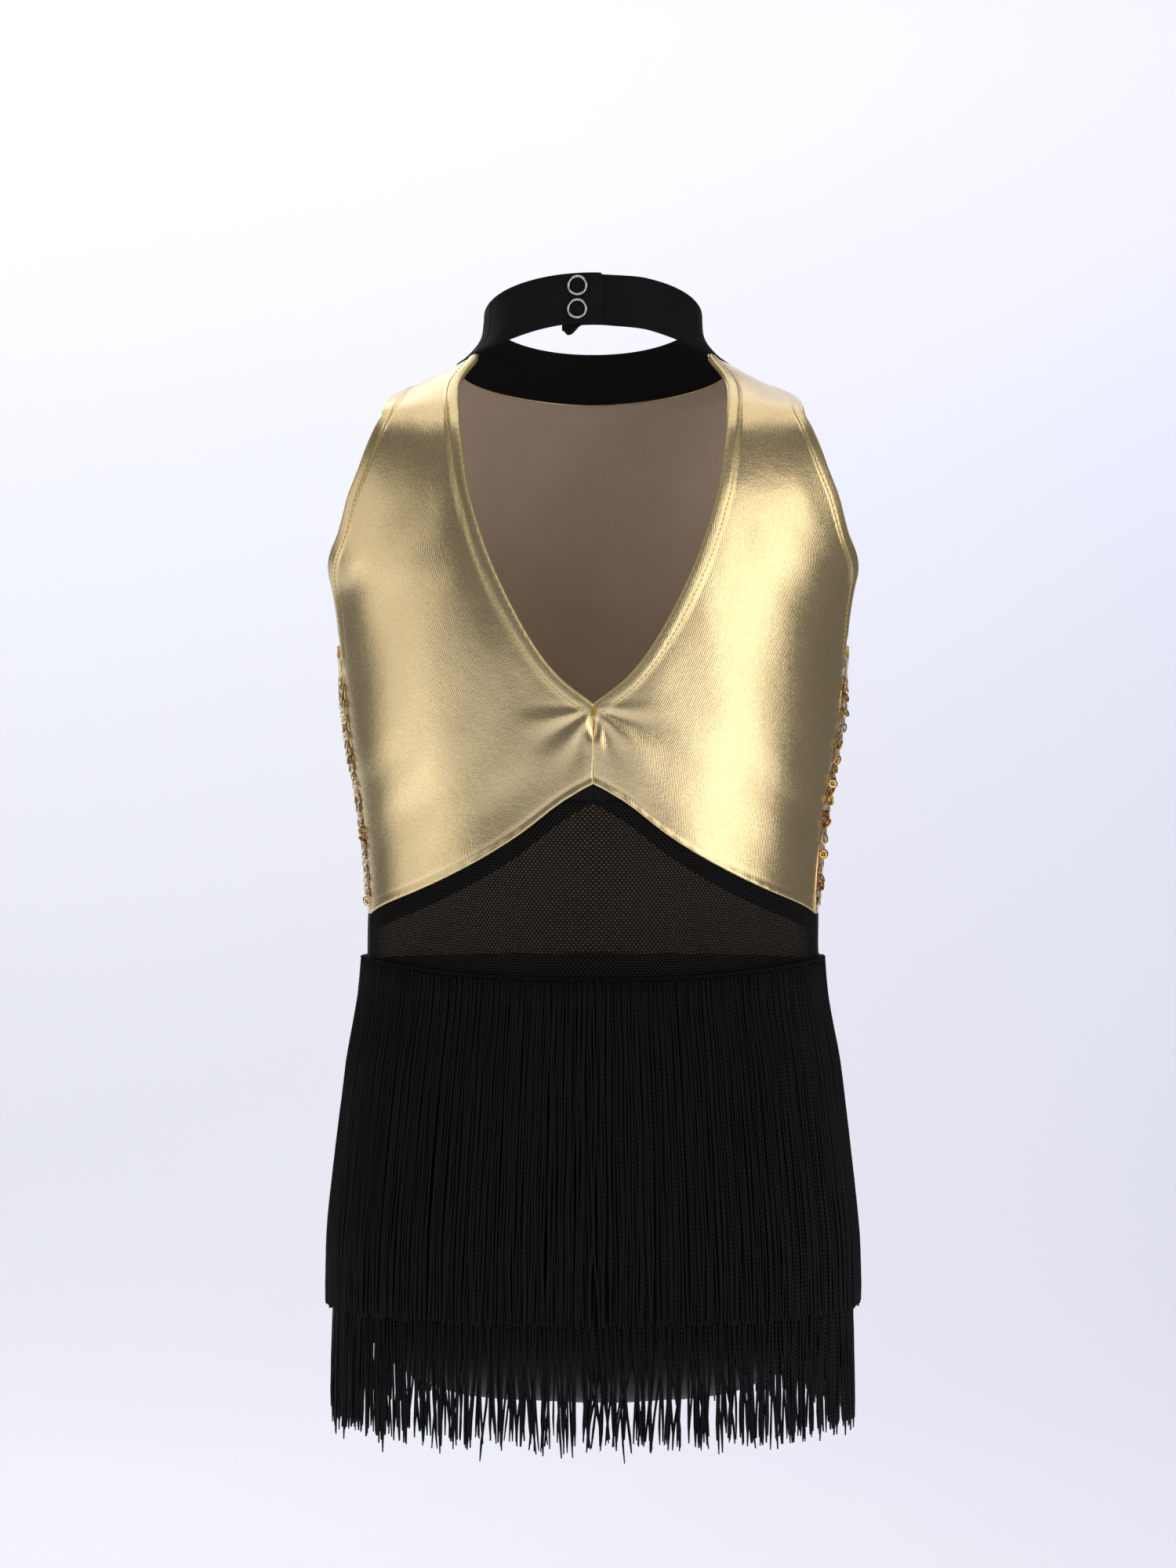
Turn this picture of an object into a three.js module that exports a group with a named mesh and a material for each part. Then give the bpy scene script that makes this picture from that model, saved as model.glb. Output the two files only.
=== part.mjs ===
// A girl's halter-neck dance leotard with a two-tier fringe skirt, in the shape it has when worn.
// Every cloth piece is a thin sheet that lies on one smooth body form, inside or outside the others.
// Millimetres, +Z up. The wearer faces -Y and +X is the wearer's left.
// The origin is the middle of the neck, inside the collar.
import * as THREE from "three";

// ---- the body form, as rings from the neck down ----
// height, half width, depth behind the axis, depth in front of it, squareness (2 is an ellipse)
const FORM = [
  [32, 48.5, 46.5, 42, 2.0], // neck
  [12, 49.8, 47.5, 44, 2.0],
  [0, 51.5, 48.5, 46.5, 2.0],
  [-9, 59, 50, 48.5, 1.8], // neck base
  [-14, 67, 52, 50, 1.62],
  [-21, 81, 55, 52, 1.52], // shoulder ridge
  [-28, 98, 58.5, 55, 1.6],
  [-38, 126, 63, 59, 1.8],
  [-50, 137, 67, 63, 2.0], // shoulder points
  [-75, 138.5, 73.5, 70, 2.15],
  [-100, 133.5, 77, 75, 2.25],
  [-122, 123.5, 78, 78, 2.3], // chest
  [-150, 119, 77, 79, 2.25],
  [-185, 115.5, 73.5, 77, 2.2],
  [-225, 108.5, 69, 73, 2.2],
  [-265, 105, 68, 71, 2.2], // waist
  [-300, 106, 72, 72, 2.2],
  [-345, 110, 81, 75.5, 2.2],
  [-390, 114.5, 89.5, 78.5, 2.2], // seat
  [-425, 117, 91.5, 78, 2.2],
  [-455, 115.5, 87, 74, 2.2],
  [-475, 107, 77.5, 65, 2.2],
  [-487, 90, 62, 50, 2.1],
  [-493, 64, 43, 33, 2.0],
  [-495.4, 38, 25, 19, 2.0],
  [-496.6, 10, 6, 5, 2.0], // crotch
];

// ---- cloth ----
const SHELL = 1.2; // thickness of the gold, mesh and black body cloth
const SEAM_GAP = 0.5; // between two sheets that are sewn edge to edge
const NECK_SEAM_GAP = 0.7; // below the collar
const LAYER_GAP = 0.8; // between two sheets that lie on each other
const CURVE_GAP = 1.4; // where they bend sharply, at the armholes and legs
const FACING = 0.8; // turned-in hems, seam tapes and elastics
const FACING_WIDTH = 6;
const LINING = 0.6;
const SEQUINS = 1.0;
const SEAM_TAPE_WIDTH = 8;

// ---- collar ----
const COLLAR = 1.6; // doubled cloth
const COLLAR_TOP = 11.9; // at the side of the neck
const COLLAR_TOP_RISE = 14; // at the back; the front is lower by as much
const COLLAR_BOTTOM = -11;
const COLLAR_BOTTOM_RISE = 14.6;
const COLLAR_BOTTOM_FALL = 14;
const STRAP_ANGLE = 69; // where the free back of the collar starts, from the centre of the back
const COLLAR_CUT = 0.6; // half the cut between collar pieces, in degrees
const OVER_TAB_ANGLE = -4; // free end of the tab on top
const UNDER_TAB_ANGLE = 17; // free end of the tab beneath
const UNDER_TAB_DROP = 4; // its corner hangs below the collar

// ---- ring snaps ----
const SNAP_ANGLE = 8.2;
const SNAP_FROM_TOP = 5.4; // of the upper snap's centre, below the collar's top edge
const SNAP_RING_RADIUS = 4.75;
const SNAP_RING_HOLE = 3.55;
const SNAP_RING_GAP = 1.3; // between the upper and the lower ring
const SNAP_RING_HEIGHT = 1;
const SOCKET_RADIUS = 4;
const SOCKET_HOLE = 2.2;
const SOCKET_HEIGHT = 1.4;
const STUD_RADIUS = 1.2;
const STUD_REACH = 0.9; // of the stud into the socket
const STUD_FLANGE = 0.5;
const SNAP_GAP = 0.3;
const BEND_ROOM = 0.2; // a flat snap against the curved collar

// ---- edges of the bodice ----
const SIDE_SEAM_ANGLE = 78;
const UNDERARM = -150;
const SHOULDER_END = -24.4; // outer end of the shoulder seam
const OPENING = [
  // edge of the open back: distance from the centre, height
  [0, -172.7],
  [15.8, -161],
  [28, -145.5],
  [46.2, -110.3],
  [57.2, -76.6],
  [62, -40],
  [61.2, -20],
];
const BACK_ARMHOLE = [
  [120.9, -115.4],
  [116.5, -92.5],
  [111.5, -74.7],
  [105.9, -60],
  [97.8, -40.6],
];
const UNDERARM_CURVE = [
  // angle from the centre of the back, height
  [87, -153],
  [97, -146],
];
const FRONT_ARMHOLE = [
  [108, -120],
  [97, -97],
  [90, -70],
  [88, -45],
];
const CHEVRON = [
  // lower edge of the gold back
  [0, -209],
  [14.5, -217.3],
  [35, -233],
  [57, -246.4],
  [80, -257.7],
];
const BODICE_SIDE = -269.4; // foot of the gold at the side seam
const BODICE_FRONT = -258; // and at the centre of the front

// ---- skirt and briefs ----
const WAIST_SEAM = -291.5; // at the sides
const WAIST_SEAM_DIP = 7.5; // at the centre of the back
const HEADER_HEIGHT = 10;
const HEADER = 1.4;
const LOWER_HEADER_TOP = -347;
const FRINGE_LENGTH = 150;
const FRINGE = 2;
const FRINGE_HANG_GAP = 0.5; // under its header
const SKIRT_CLEARANCE = 0.8;
const LOWER_FLARE = 2;
const UPPER_FLARE = 1;
const LEG_TOP = -428; // top of the leg opening, at the side
const BACK_LEG = [
  [105.7, -459.9],
  [87.5, -477.6],
  [69.3, -486.6],
];
const FRONT_LEG = [
  [98, -455],
  [70, -476],
];
const GUSSET_HALF_WIDTH = 33;
const GUSSET_BACK = 16; // of its rear seam, behind the axis
const GUSSET_FRONT = -12;
const LEG_ELASTIC_WIDTH = 7;

// Sectors of the fringe: name, first and last angle from the centre of the back, towards the left.
const SECTORS = [
  ["back", -18, 18],
  ["back_left", 18, 62],
  ["left", 62, 118],
  ["front_left", 118, 162],
  ["front", 162, 198],
  ["front_right", 198, 242],
  ["right", 242, 298],
  ["back_right", 298, 342],
];
const SECTOR_CUT = 0.2; // half the cut between sectors, in degrees

// ---- looks ----
const material = (color, roughness, metalness) =>
  new THREE.MeshStandardMaterial({ color, roughness, metalness });
const GOLD_FOIL = material(0xc9ac62, 0.32, 0.85);
const SEQUIN_GOLD = material(0xd9962f, 0.2, 0.9);
const BLACK_KNIT = material(0x0c0c0e, 0.75, 0);
const BLACK_MESH = material(0x1b1917, 0.8, 0);
const BLACK_FRINGE = material(0x09090b, 0.6, 0);
const NUDE_TRICOT = material(0xcbb9a6, 0.8, 0);
const SILVER = material(0xd6d7da, 0.2, 1);
const GOLD_THREAD = material(0xcda52c, 0.5, 0.3);
const WHITE_SATIN = material(0xeeece6, 0.5, 0);

const { lerp, clamp, degToRad, radToDeg, smoothstep } = THREE.MathUtils;
const model = new THREE.Group();

function piece(name, geometry, look) {
  const mesh = new THREE.Mesh(geometry, look);
  mesh.name = name;
  model.add(mesh);
}

// ---- the form as a surface ----

// One column of FORM between its rows: row 2.5 is halfway from row 2 to row 3.
function column(k, row) {
  const last = FORM.length - 1;
  const i = clamp(Math.floor(row), 0, last - 1);
  const t = row - i;
  const [p, q, r, s] = [-1, 0, 1, 2].map((j) => FORM[clamp(i + j, 0, last)][k]);
  return q + 0.5 * t * (r - p + t * (2 * p - 5 * q + 4 * r - s + t * (3 * (q - r) + s - p)));
}

// The row of a height, by halving.
function rowAt(z) {
  let above = 0;
  let below = FORM.length - 1;
  for (let i = 0; i < 40; i++) {
    const middle = (above + below) / 2;
    if (column(0, middle) > z) above = middle;
    else below = middle;
  }
  return (above + below) / 2;
}

function ringAt(row) {
  const [z, halfWidth, back, front, squareness] = [0, 1, 2, 3, 4].map((k) => column(k, row));
  return { z, halfWidth, back, front, squareness };
}

const toward = (value, power) => Math.sign(value) * Math.abs(value) ** power;

// A point of a ring, at an angle in radians: 0 is the centre of the back, a quarter turn is the left side.
function onRing(ring, angle, grow = 0) {
  const power = 2 / ring.squareness;
  const depth = Math.cos(angle) >= 0 ? ring.back : ring.front;
  return new THREE.Vector3(
    (ring.halfWidth + grow) * toward(Math.sin(angle), power),
    (depth + grow) * toward(Math.cos(angle), power),
    ring.z,
  );
}

const onForm = (place) => onRing(ringAt(place.row), place.angle);

function outward(place) {
  const { angle, row } = place;
  const across = onForm({ angle: angle + 0.01, row }).sub(onForm({ angle: angle - 0.01, row }));
  const down = onForm({ angle, row: row + 0.02 }).sub(onForm({ angle, row: row - 0.02 }));
  return across.cross(down).normalize();
}

const lifted = (place, lift) => onForm(place).addScaledVector(outward(place), lift);

// A place on the form is an angle and a row.
const place = (degrees, z) => ({ angle: degToRad(degrees), row: rowAt(z) });

// The place at a distance from the centre and a height, on the back (facing 1) or the front (-1).
function placeAcross(x, z, facing) {
  const ring = ringAt(rowAt(z));
  const angle = Math.asin(Math.min(1, (x / ring.halfWidth) ** (ring.squareness / 2)));
  return { angle: facing > 0 ? angle : Math.PI - angle, row: rowAt(z) };
}

// The place on the ridge of the shoulder, shifted backwards by y.
function placeOnRidge(y, z) {
  const ring = ringAt(rowAt(z));
  const depth = y >= 0 ? ring.back : ring.front;
  const lean = Math.acos((Math.abs(y) / depth) ** (ring.squareness / 2));
  return { angle: y >= 0 ? lean : Math.PI - lean, row: rowAt(z) };
}

// The place on the form beside any point, at the point's height.
function settle(point) {
  const row = rowAt(point.z);
  const ring = ringAt(row);
  const depth = point.y >= 0 ? ring.back : ring.front;
  const power = ring.squareness / 2;
  const angle = Math.atan2(
    toward(point.x / ring.halfWidth, power),
    toward(point.y / depth, power),
  );
  return { angle, row };
}

// The place on the form nearest to a point, looked for from a place close by.
function nearest(start, point) {
  let { angle, row } = start;
  for (let i = 0; i < 6; i++) {
    const error = point.clone().sub(onForm({ angle, row }));
    const across = onForm({ angle: angle + 0.01, row }).sub(onForm({ angle: angle - 0.01, row }));
    const down = onForm({ angle, row: row + 0.01 }).sub(onForm({ angle, row: row - 0.01 }));
    const [aa, ad, dd] = [across.dot(across), across.dot(down), down.dot(down)];
    const [ea, ed] = [error.dot(across), error.dot(down)];
    const scale = 0.02 / (aa * dd - ad * ad);
    angle += (ea * dd - ed * ad) * scale;
    row += (ed * aa - ea * ad) * scale;
  }
  return { angle, row };
}

// ---- curves on the form ----

const through = (places) => new THREE.CatmullRomCurve3(places.map(onForm), false, "centripetal");

// Several curves end to end, walked at an even pace.
function chain(...curves) {
  const path = new THREE.CurvePath();
  curves.forEach((curve) => path.add(curve));
  return path;
}

const shift = (curve, dz) =>
  new THREE.CatmullRomCurve3(
    curve.getSpacedPoints(24).map((p) => p.setZ(p.z + dz)),
    false,
    "centripetal",
  );

// ---- solids ----

// One closed body between an outer and an inner grid of points; wrap joins the last column to the first.
// Each cell is split along the shorter diagonal of its outer face.
function shell(outer, inner, wrap = false) {
  const rows = outer.length;
  const columns = outer[0].length;
  const points = [...outer.flat(), ...inner.flat()];
  const positions = points.flatMap((p) => [p.x, p.y, p.z]);
  const index = [];
  const at = (side, i, j) => side * rows * columns + i * columns + (j % columns);
  const quad = (a, b, c, d) => index.push(a, b, c, a, c, d);
  const lastColumn = wrap ? columns : columns - 1;
  for (let i = 0; i < rows - 1; i++) {
    for (let j = 0; j < lastColumn; j++) {
      const [a, b, c, d] = [at(0, i, j), at(0, i, j + 1), at(0, i + 1, j + 1), at(0, i + 1, j)];
      const inside = rows * columns;
      if (points[a].distanceTo(points[c]) < points[b].distanceTo(points[d])) {
        quad(a, b, c, d);
        quad(c + inside, b + inside, a + inside, d + inside);
      } else {
        quad(b, c, d, a);
        quad(b + inside, a + inside, d + inside, c + inside);
      }
    }
    if (!wrap) {
      const end = columns - 1;
      quad(at(0, i, 0), at(0, i + 1, 0), at(1, i + 1, 0), at(1, i, 0));
      quad(at(0, i, end), at(1, i, end), at(1, i + 1, end), at(0, i + 1, end));
    }
  }
  for (let j = 0; j < lastColumn; j++) {
    const end = rows - 1;
    quad(at(0, 0, j), at(1, 0, j), at(1, 0, j + 1), at(0, 0, j + 1));
    quad(at(0, end, j), at(0, end, j + 1), at(1, end, j + 1), at(1, end, j));
  }
  const geometry = new THREE.BufferGeometry();
  geometry.setAttribute("position", new THREE.Float32BufferAttribute(positions, 3));
  geometry.setIndex(volumeOf(positions, index) > 0 ? index : index.reverse());
  geometry.computeVertexNormals();
  return geometry;
}

function volumeOf(positions, index) {
  const corner = (i) => new THREE.Vector3().fromArray(positions, 3 * index[i]);
  let sum = 0;
  for (let i = 0; i < index.length; i += 3) {
    sum += corner(i).dot(corner(i + 1).cross(corner(i + 2)));
  }
  return sum;
}

// A sheet of cloth on a grid of places, between two lifts off the form.
function sheet(grid, inner, outer, wrap = false) {
  const lift = (value, p) => (typeof value === "function" ? value(p) : value);
  const layer = (value) => grid.map((line) => line.map((p) => lifted(p, lift(value, p))));
  return shell(layer(outer), layer(inner), wrap);
}

// The grid of a panel inside four edges: foot and head run from the left edge to the right one.
function panel(foot, head, left, right, rows, columns, toPlace = settle) {
  const grid = [];
  for (let i = 0; i <= rows; i++) {
    const v = i / rows;
    grid.push([]);
    for (let j = 0; j <= columns; j++) {
      const u = j / columns;
      const sum = new THREE.Vector3()
        .addScaledVector(foot.getPoint(u), 1 - v)
        .addScaledVector(head.getPoint(u), v)
        .addScaledVector(left.getPoint(v), 1 - u)
        .addScaledVector(right.getPoint(v), u)
        .addScaledVector(foot.getPoint(0), -(1 - u) * (1 - v))
        .addScaledVector(foot.getPoint(1), -u * (1 - v))
        .addScaledVector(head.getPoint(0), -(1 - u) * v)
        .addScaledVector(head.getPoint(1), -u * v);
      grid[i].push(toPlace(sum));
    }
  }
  return grid;
}

// The grid of a band round part of the form, in degrees, between two heights that depend on the angle.
function band(from, to, low, high, rows, columns) {
  const grid = [];
  for (let i = 0; i <= rows; i++) {
    grid.push([]);
    for (let j = 0; j <= columns; j++) {
      const degrees = lerp(from, to, j / columns);
      grid[i].push(place(degrees, lerp(low(degrees), high(degrees), i / rows)));
    }
  }
  return grid;
}

const mirrored = (grid) => grid.map((line) => line.map((p) => ({ angle: -p.angle, row: p.row })));

// A narrow strip inside the cloth along places on an edge; near and far are distances from the edge.
function strip(places, near, far, inner, outer, closed) {
  const points = places.map(onForm);
  const count = places.length;
  const line = (distance, lift) =>
    places.map((p, i) => {
      const ahead = closed ? (i + 1) % count : Math.min(i + 1, count - 1);
      const behind = closed ? (i + count - 1) % count : Math.max(i - 1, 0);
      const along = points[ahead].clone().sub(points[behind]).normalize();
      const aside = outward(p).cross(along).normalize();
      return lifted(nearest(p, points[i].clone().addScaledVector(aside, distance)), lift);
    });
  return shell(
    [line(near, outer), line(far, outer)],
    [line(near, inner), line(far, inner)],
    closed,
  );
}

const placesAlong = (curve, steps, skipLast = 0) =>
  Array.from({ length: steps + 1 - skipLast }, (_, i) => settle(curve.getPoint(i / steps)));

const mirroredPlaces = (places) => places.map((p) => ({ angle: -p.angle, row: p.row })).reverse();

// ---- collar ----

const backShare = (degrees) => Math.cos(degToRad(degrees));

const collarTop = (degrees) => COLLAR_TOP + COLLAR_TOP_RISE * backShare(degrees);

function collarBottom(degrees) {
  const share = backShare(degrees);
  if (share > 0) return COLLAR_BOTTOM + COLLAR_BOTTOM_RISE * share ** 1.5;
  return COLLAR_BOTTOM - COLLAR_BOTTOM_FALL * (-share) ** 1.5;
}

const SOCKET_TOP = -SNAP_GAP - BEND_ROOM;
const STUD_FLANGE_TOP = SOCKET_TOP - SOCKET_HEIGHT - SNAP_GAP;
const UNDER_TAB_FACE = STUD_FLANGE_TOP - STUD_FLANGE - SNAP_GAP;

// The tab beneath dives under the one on top.
function underTabDepth(p) {
  const degrees = radToDeg(p.angle);
  return (UNDER_TAB_FACE - COLLAR) * smoothstep(degrees, -30, OVER_TAB_ANGLE - 5);
}

function underTabBottom(degrees) {
  const corner = smoothstep(degrees, 6, UNDER_TAB_ANGLE - 4) * UNDER_TAB_DROP;
  return collarBottom(degrees) - corner * (1 - 0.6 * smoothstep(degrees, UNDER_TAB_ANGLE - 3, UNDER_TAB_ANGLE));
}

function addCollar() {
  const front = band(
    STRAP_ANGLE + COLLAR_CUT,
    360 - STRAP_ANGLE - COLLAR_CUT,
    collarBottom,
    collarTop,
    2,
    26,
  );
  piece("collar_front", sheet(front, 0, COLLAR), BLACK_KNIT);
  const over = band(OVER_TAB_ANGLE, STRAP_ANGLE - COLLAR_CUT, collarBottom, collarTop, 2, 12);
  piece("collar_over_tab", sheet(over, 0, COLLAR), BLACK_KNIT);
  const under = band(COLLAR_CUT - STRAP_ANGLE, UNDER_TAB_ANGLE, underTabBottom, collarTop, 2, 18);
  const outerFace = (p) => underTabDepth(p) + COLLAR;
  piece("collar_under_tab", sheet(under, underTabDepth, outerFace), BLACK_KNIT);
}

// A turned part whose axis stands on the collar at a snap; the profile is radius and lift.
function turned(profile, z) {
  const seat = place(SNAP_ANGLE, z);
  const up = new THREE.Vector3(0, 1, 0);
  const points = profile.map(([radius, lift]) => new THREE.Vector2(radius, lift));
  return new THREE.LatheGeometry(points, 20)
    .applyQuaternion(new THREE.Quaternion().setFromUnitVectors(up, outward(seat)))
    .translate(...onForm(seat).toArray());
}

// A pronged ring with a bevelled face; side is 1 where it faces outwards.
function ringProfile(base, side) {
  const face = base + side * SNAP_RING_HEIGHT;
  const bevel = 0.35;
  const profile = [
    [SNAP_RING_HOLE, base],
    [SNAP_RING_RADIUS, base],
    [SNAP_RING_RADIUS, face - side * bevel],
    [SNAP_RING_RADIUS - bevel, face],
    [SNAP_RING_HOLE + bevel, face],
    [SNAP_RING_HOLE, face - side * bevel],
    [SNAP_RING_HOLE, base],
  ];
  return side > 0 ? profile : profile.reverse();
}

function addSnap(label, z) {
  const socketFoot = SOCKET_TOP - SOCKET_HEIGHT;
  const flangeFoot = STUD_FLANGE_TOP - STUD_FLANGE;
  const innerFace = UNDER_TAB_FACE - COLLAR;
  piece(`snap_cap_ring_${label}`, turned(ringProfile(COLLAR + SNAP_GAP, 1), z), SILVER);
  const socket = [
    [SOCKET_HOLE, socketFoot],
    [SOCKET_RADIUS, socketFoot],
    [SOCKET_RADIUS, SOCKET_TOP],
    [SOCKET_HOLE, SOCKET_TOP],
    [SOCKET_HOLE, socketFoot],
  ];
  piece(`snap_socket_${label}`, turned(socket, z), SILVER);
  const stud = [
    [0, flangeFoot],
    [SOCKET_RADIUS, flangeFoot],
    [SOCKET_RADIUS, STUD_FLANGE_TOP],
    [STUD_RADIUS, STUD_FLANGE_TOP],
    [STUD_RADIUS, socketFoot + STUD_REACH],
    [0, socketFoot + STUD_REACH],
  ];
  piece(`snap_stud_${label}`, turned(stud, z), SILVER);
  const base = innerFace - SNAP_GAP - 1.5 * BEND_ROOM;
  piece(`snap_back_ring_${label}`, turned(ringProfile(base, -1), z), SILVER);
}

function addSnaps() {
  const upper = collarTop(SNAP_ANGLE) - SNAP_FROM_TOP;
  addSnap("upper", upper);
  addSnap("lower", upper - 2 * SNAP_RING_RADIUS - SNAP_RING_GAP);
}

// ---- bodice ----

const HALF_GAP = SEAM_GAP / 2;
const chevronCurve = new THREE.SplineCurve([
  ...CHEVRON.map(([x, z]) => new THREE.Vector2(radToDeg(placeAcross(x, z, 1).angle), z)),
  new THREE.Vector2(SIDE_SEAM_ANGLE, BODICE_SIDE),
]);

// Height of the gold's lower edge on the back, at an angle.
function chevronHeight(degrees) {
  let before = 0;
  let after = 1;
  for (let i = 0; i < 30; i++) {
    const middle = (before + after) / 2;
    if (chevronCurve.getPoint(middle).x < Math.abs(degrees)) before = middle;
    else after = middle;
  }
  return chevronCurve.getPoint(before).y;
}

const frontFoot = (degrees) =>
  BODICE_SIDE + (BODICE_FRONT - BODICE_SIDE) * Math.max(0, -backShare(degrees)) ** 0.8;

function waistSeam(degrees) {
  const share = Math.max(0, backShare(degrees));
  return WAIST_SEAM - WAIST_SEAM_DIP * share ** 2;
}

// Places along a height that depends on the angle.
const ringPlaces = (from, to, height, steps) =>
  Array.from({ length: steps + 1 }, (_, i) => {
    const degrees = lerp(from, to, i / steps);
    return place(degrees, height(degrees));
  });

const neckline = (degrees) => collarBottom(degrees) - NECK_SEAM_GAP;
const underarm = (degrees) => place(degrees, UNDERARM);

// The seam along the shoulder ridge, from the collar outwards; y tells the back piece from the front one.
function shoulderSeam(y) {
  const start = neckline(90);
  return [0, 0.25, 0.5, 0.75, 1].map((t) => placeOnRidge(y, lerp(start, SHOULDER_END, t)));
}

// The back (facing 1) or front (-1) of the left armhole's edge, from the side seam up to the shoulder.
function armhole(facing, seamAngle) {
  const points = facing > 0 ? BACK_ARMHOLE : FRONT_ARMHOLE;
  const below = facing > 0 ? [] : UNDERARM_CURVE.map(([degrees, z]) => place(degrees, z));
  const beside = points.map(([x, z]) => placeAcross(x, z, facing));
  const shoulder = placeOnRidge(facing * HALF_GAP, SHOULDER_END);
  return through([underarm(seamAngle), ...below, ...beside, shoulder]);
}

function backPanelGrid() {
  const seam = SIDE_SEAM_ANGLE - 0.13;
  const centre = placeAcross(HALF_GAP, OPENING[0][1] - 0.5, 1);
  const openingTop = place(STRAP_ANGLE, neckline(STRAP_ANGLE));
  const opening = OPENING.slice(1).map(([x, z]) => placeAcross(x, z, 1));
  const foot = through(ringPlaces(0.15, seam, (a) => chevronHeight(a) + HALF_GAP, 27));
  const alongCollar = ringPlaces(STRAP_ANGLE, 88.5, neckline, 5);
  const head = chain(
    through([...alongCollar, placeOnRidge(HALF_GAP, neckline(90))]),
    through(shoulderSeam(HALF_GAP)),
  );
  const centreFoot = place(0.15, chevronHeight(0) + HALF_GAP);
  const inner = chain(
    new THREE.LineCurve3(onForm(centreFoot), onForm(centre)),
    through([centre, ...opening, openingTop]),
  );
  const sideFoot = place(seam, chevronHeight(seam) + HALF_GAP);
  const side = through([sideFoot, place(seam, -225), place(seam, -185), underarm(seam)]);
  const outer = chain(side, armhole(1, seam));
  return panel(foot, head, inner, outer, 20, 9);
}

// The whole armhole edge of the left side as one closed loop of places.
function armholeLoop() {
  const back = placesAlong(chain(armhole(1, SIDE_SEAM_ANGLE)), 16, 1);
  const front = placesAlong(chain(armhole(-1, SIDE_SEAM_ANGLE)), 18, 1);
  const shoulder = placeOnRidge(0, SHOULDER_END);
  return [...back, shoulder, ...front.reverse().slice(0, -1)];
}

// Edges of the front, from the left side seam over the front to the right one.
function frontEdges(foot, seam) {
  const flip = (p) => ({ angle: 2 * Math.PI - p.angle, row: p.row });
  const collarEdge = ringPlaces(91.5, 268.5, neckline, 30);
  const ridge = shoulderSeam(-HALF_GAP);
  const necklineEnd = ridge[0];
  const head = chain(
    through([...ridge].reverse()),
    through([necklineEnd, ...collarEdge, flip(necklineEnd)]),
    through(ridge.map(flip)),
  );
  const sidePlaces = [0, 0.35, 0.7, 1].map((t) => place(seam, lerp(foot(seam), UNDERARM, t)));
  const armholeEdge = armhole(-1, seam);
  const armholePoints = armholeEdge.points.map((p) => new THREE.Vector3(-p.x, p.y, p.z));
  const left = chain(through(sidePlaces), armholeEdge);
  const right = chain(
    through(sidePlaces.map(flip)),
    new THREE.CatmullRomCurve3(armholePoints, false, "centripetal"),
  );
  const footCurve = through(ringPlaces(seam, 360 - seam, foot, 36));
  return [footCurve, head, left, right];
}

function addBodice() {
  const back = backPanelGrid();
  piece("back_panel_left", sheet(back, 0, SHELL), GOLD_FOIL);
  piece("back_panel_right", sheet(mirrored(back), 0, SHELL), GOLD_FOIL);

  const seam = SIDE_SEAM_ANGLE + 0.13;
  const footOfFront = (degrees) => frontFoot(degrees) + HALF_GAP;
  const front = panel(...frontEdges(footOfFront, seam), 18, 22);
  piece("front_bodice", sheet(front, 0, SHELL), GOLD_FOIL);
  const sequined = front.slice(1, -1).map((line) => line.slice(1, -1));
  const sequinFoot = SHELL + LAYER_GAP;
  piece("front_sequins", sheet(sequined, sequinFoot, sequinFoot + SEQUINS), SEQUIN_GOLD);

  const liningFoot = (degrees) => waistSeam(degrees) + HALF_GAP;
  const lining = panel(...frontEdges(liningFoot, 90), 14, 18);
  const liningTop = -CURVE_GAP - FACING - LAYER_GAP;
  piece("front_lining", sheet(lining, liningTop - LINING, liningTop), NUDE_TRICOT);
}

const FACING_TOP = -LAYER_GAP;
const FACING_FOOT = -LAYER_GAP - FACING;

function addFacings() {
  const points = OPENING.slice(1).map(([x, z]) => placeAcross(x, z, 1));
  const start = placeAcross(1, OPENING[0][1] - 0.3, 1);
  const top = place(STRAP_ANGLE, neckline(STRAP_ANGLE) - 1);
  const edge = placesAlong(chain(through([start, ...points, top])), 22);
  const near = 0.3;
  const left = strip(edge, near, FACING_WIDTH, FACING_FOOT, FACING_TOP, false);
  piece("back_opening_facing_left", left, GOLD_FOIL);
  const right = strip(mirroredPlaces(edge), near, FACING_WIDTH, FACING_FOOT, FACING_TOP, false);
  piece("back_opening_facing_right", right, GOLD_FOIL);
  const loop = armholeLoop();
  const leftArm = strip(loop, -near, -FACING_WIDTH, -CURVE_GAP - FACING, -CURVE_GAP, true);
  piece("armhole_facing_left", leftArm, GOLD_FOIL);
  const far = mirroredPlaces(loop);
  const rightArm = strip(far, -near, -FACING_WIDTH, -CURVE_GAP - FACING, -CURVE_GAP, true);
  piece("armhole_facing_right", rightArm, GOLD_FOIL);
}

// The stitched bar that closes the foot of the open back.
function addBarTack() {
  const width = 2.4;
  const height = 4.5;
  const depth = 0.8;
  const seat = place(0, OPENING[0][1] - height / 2 - 1);
  const upright = new THREE.Quaternion().setFromUnitVectors(new THREE.Vector3(0, 1, 0), outward(seat));
  const bar = new THREE.BoxGeometry(width, depth, height)
    .applyQuaternion(upright)
    .translate(...lifted(seat, SHELL + 0.4 + depth / 2).toArray());
  piece("bar_tack", bar, GOLD_THREAD);
}

// ---- waist ----

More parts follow.
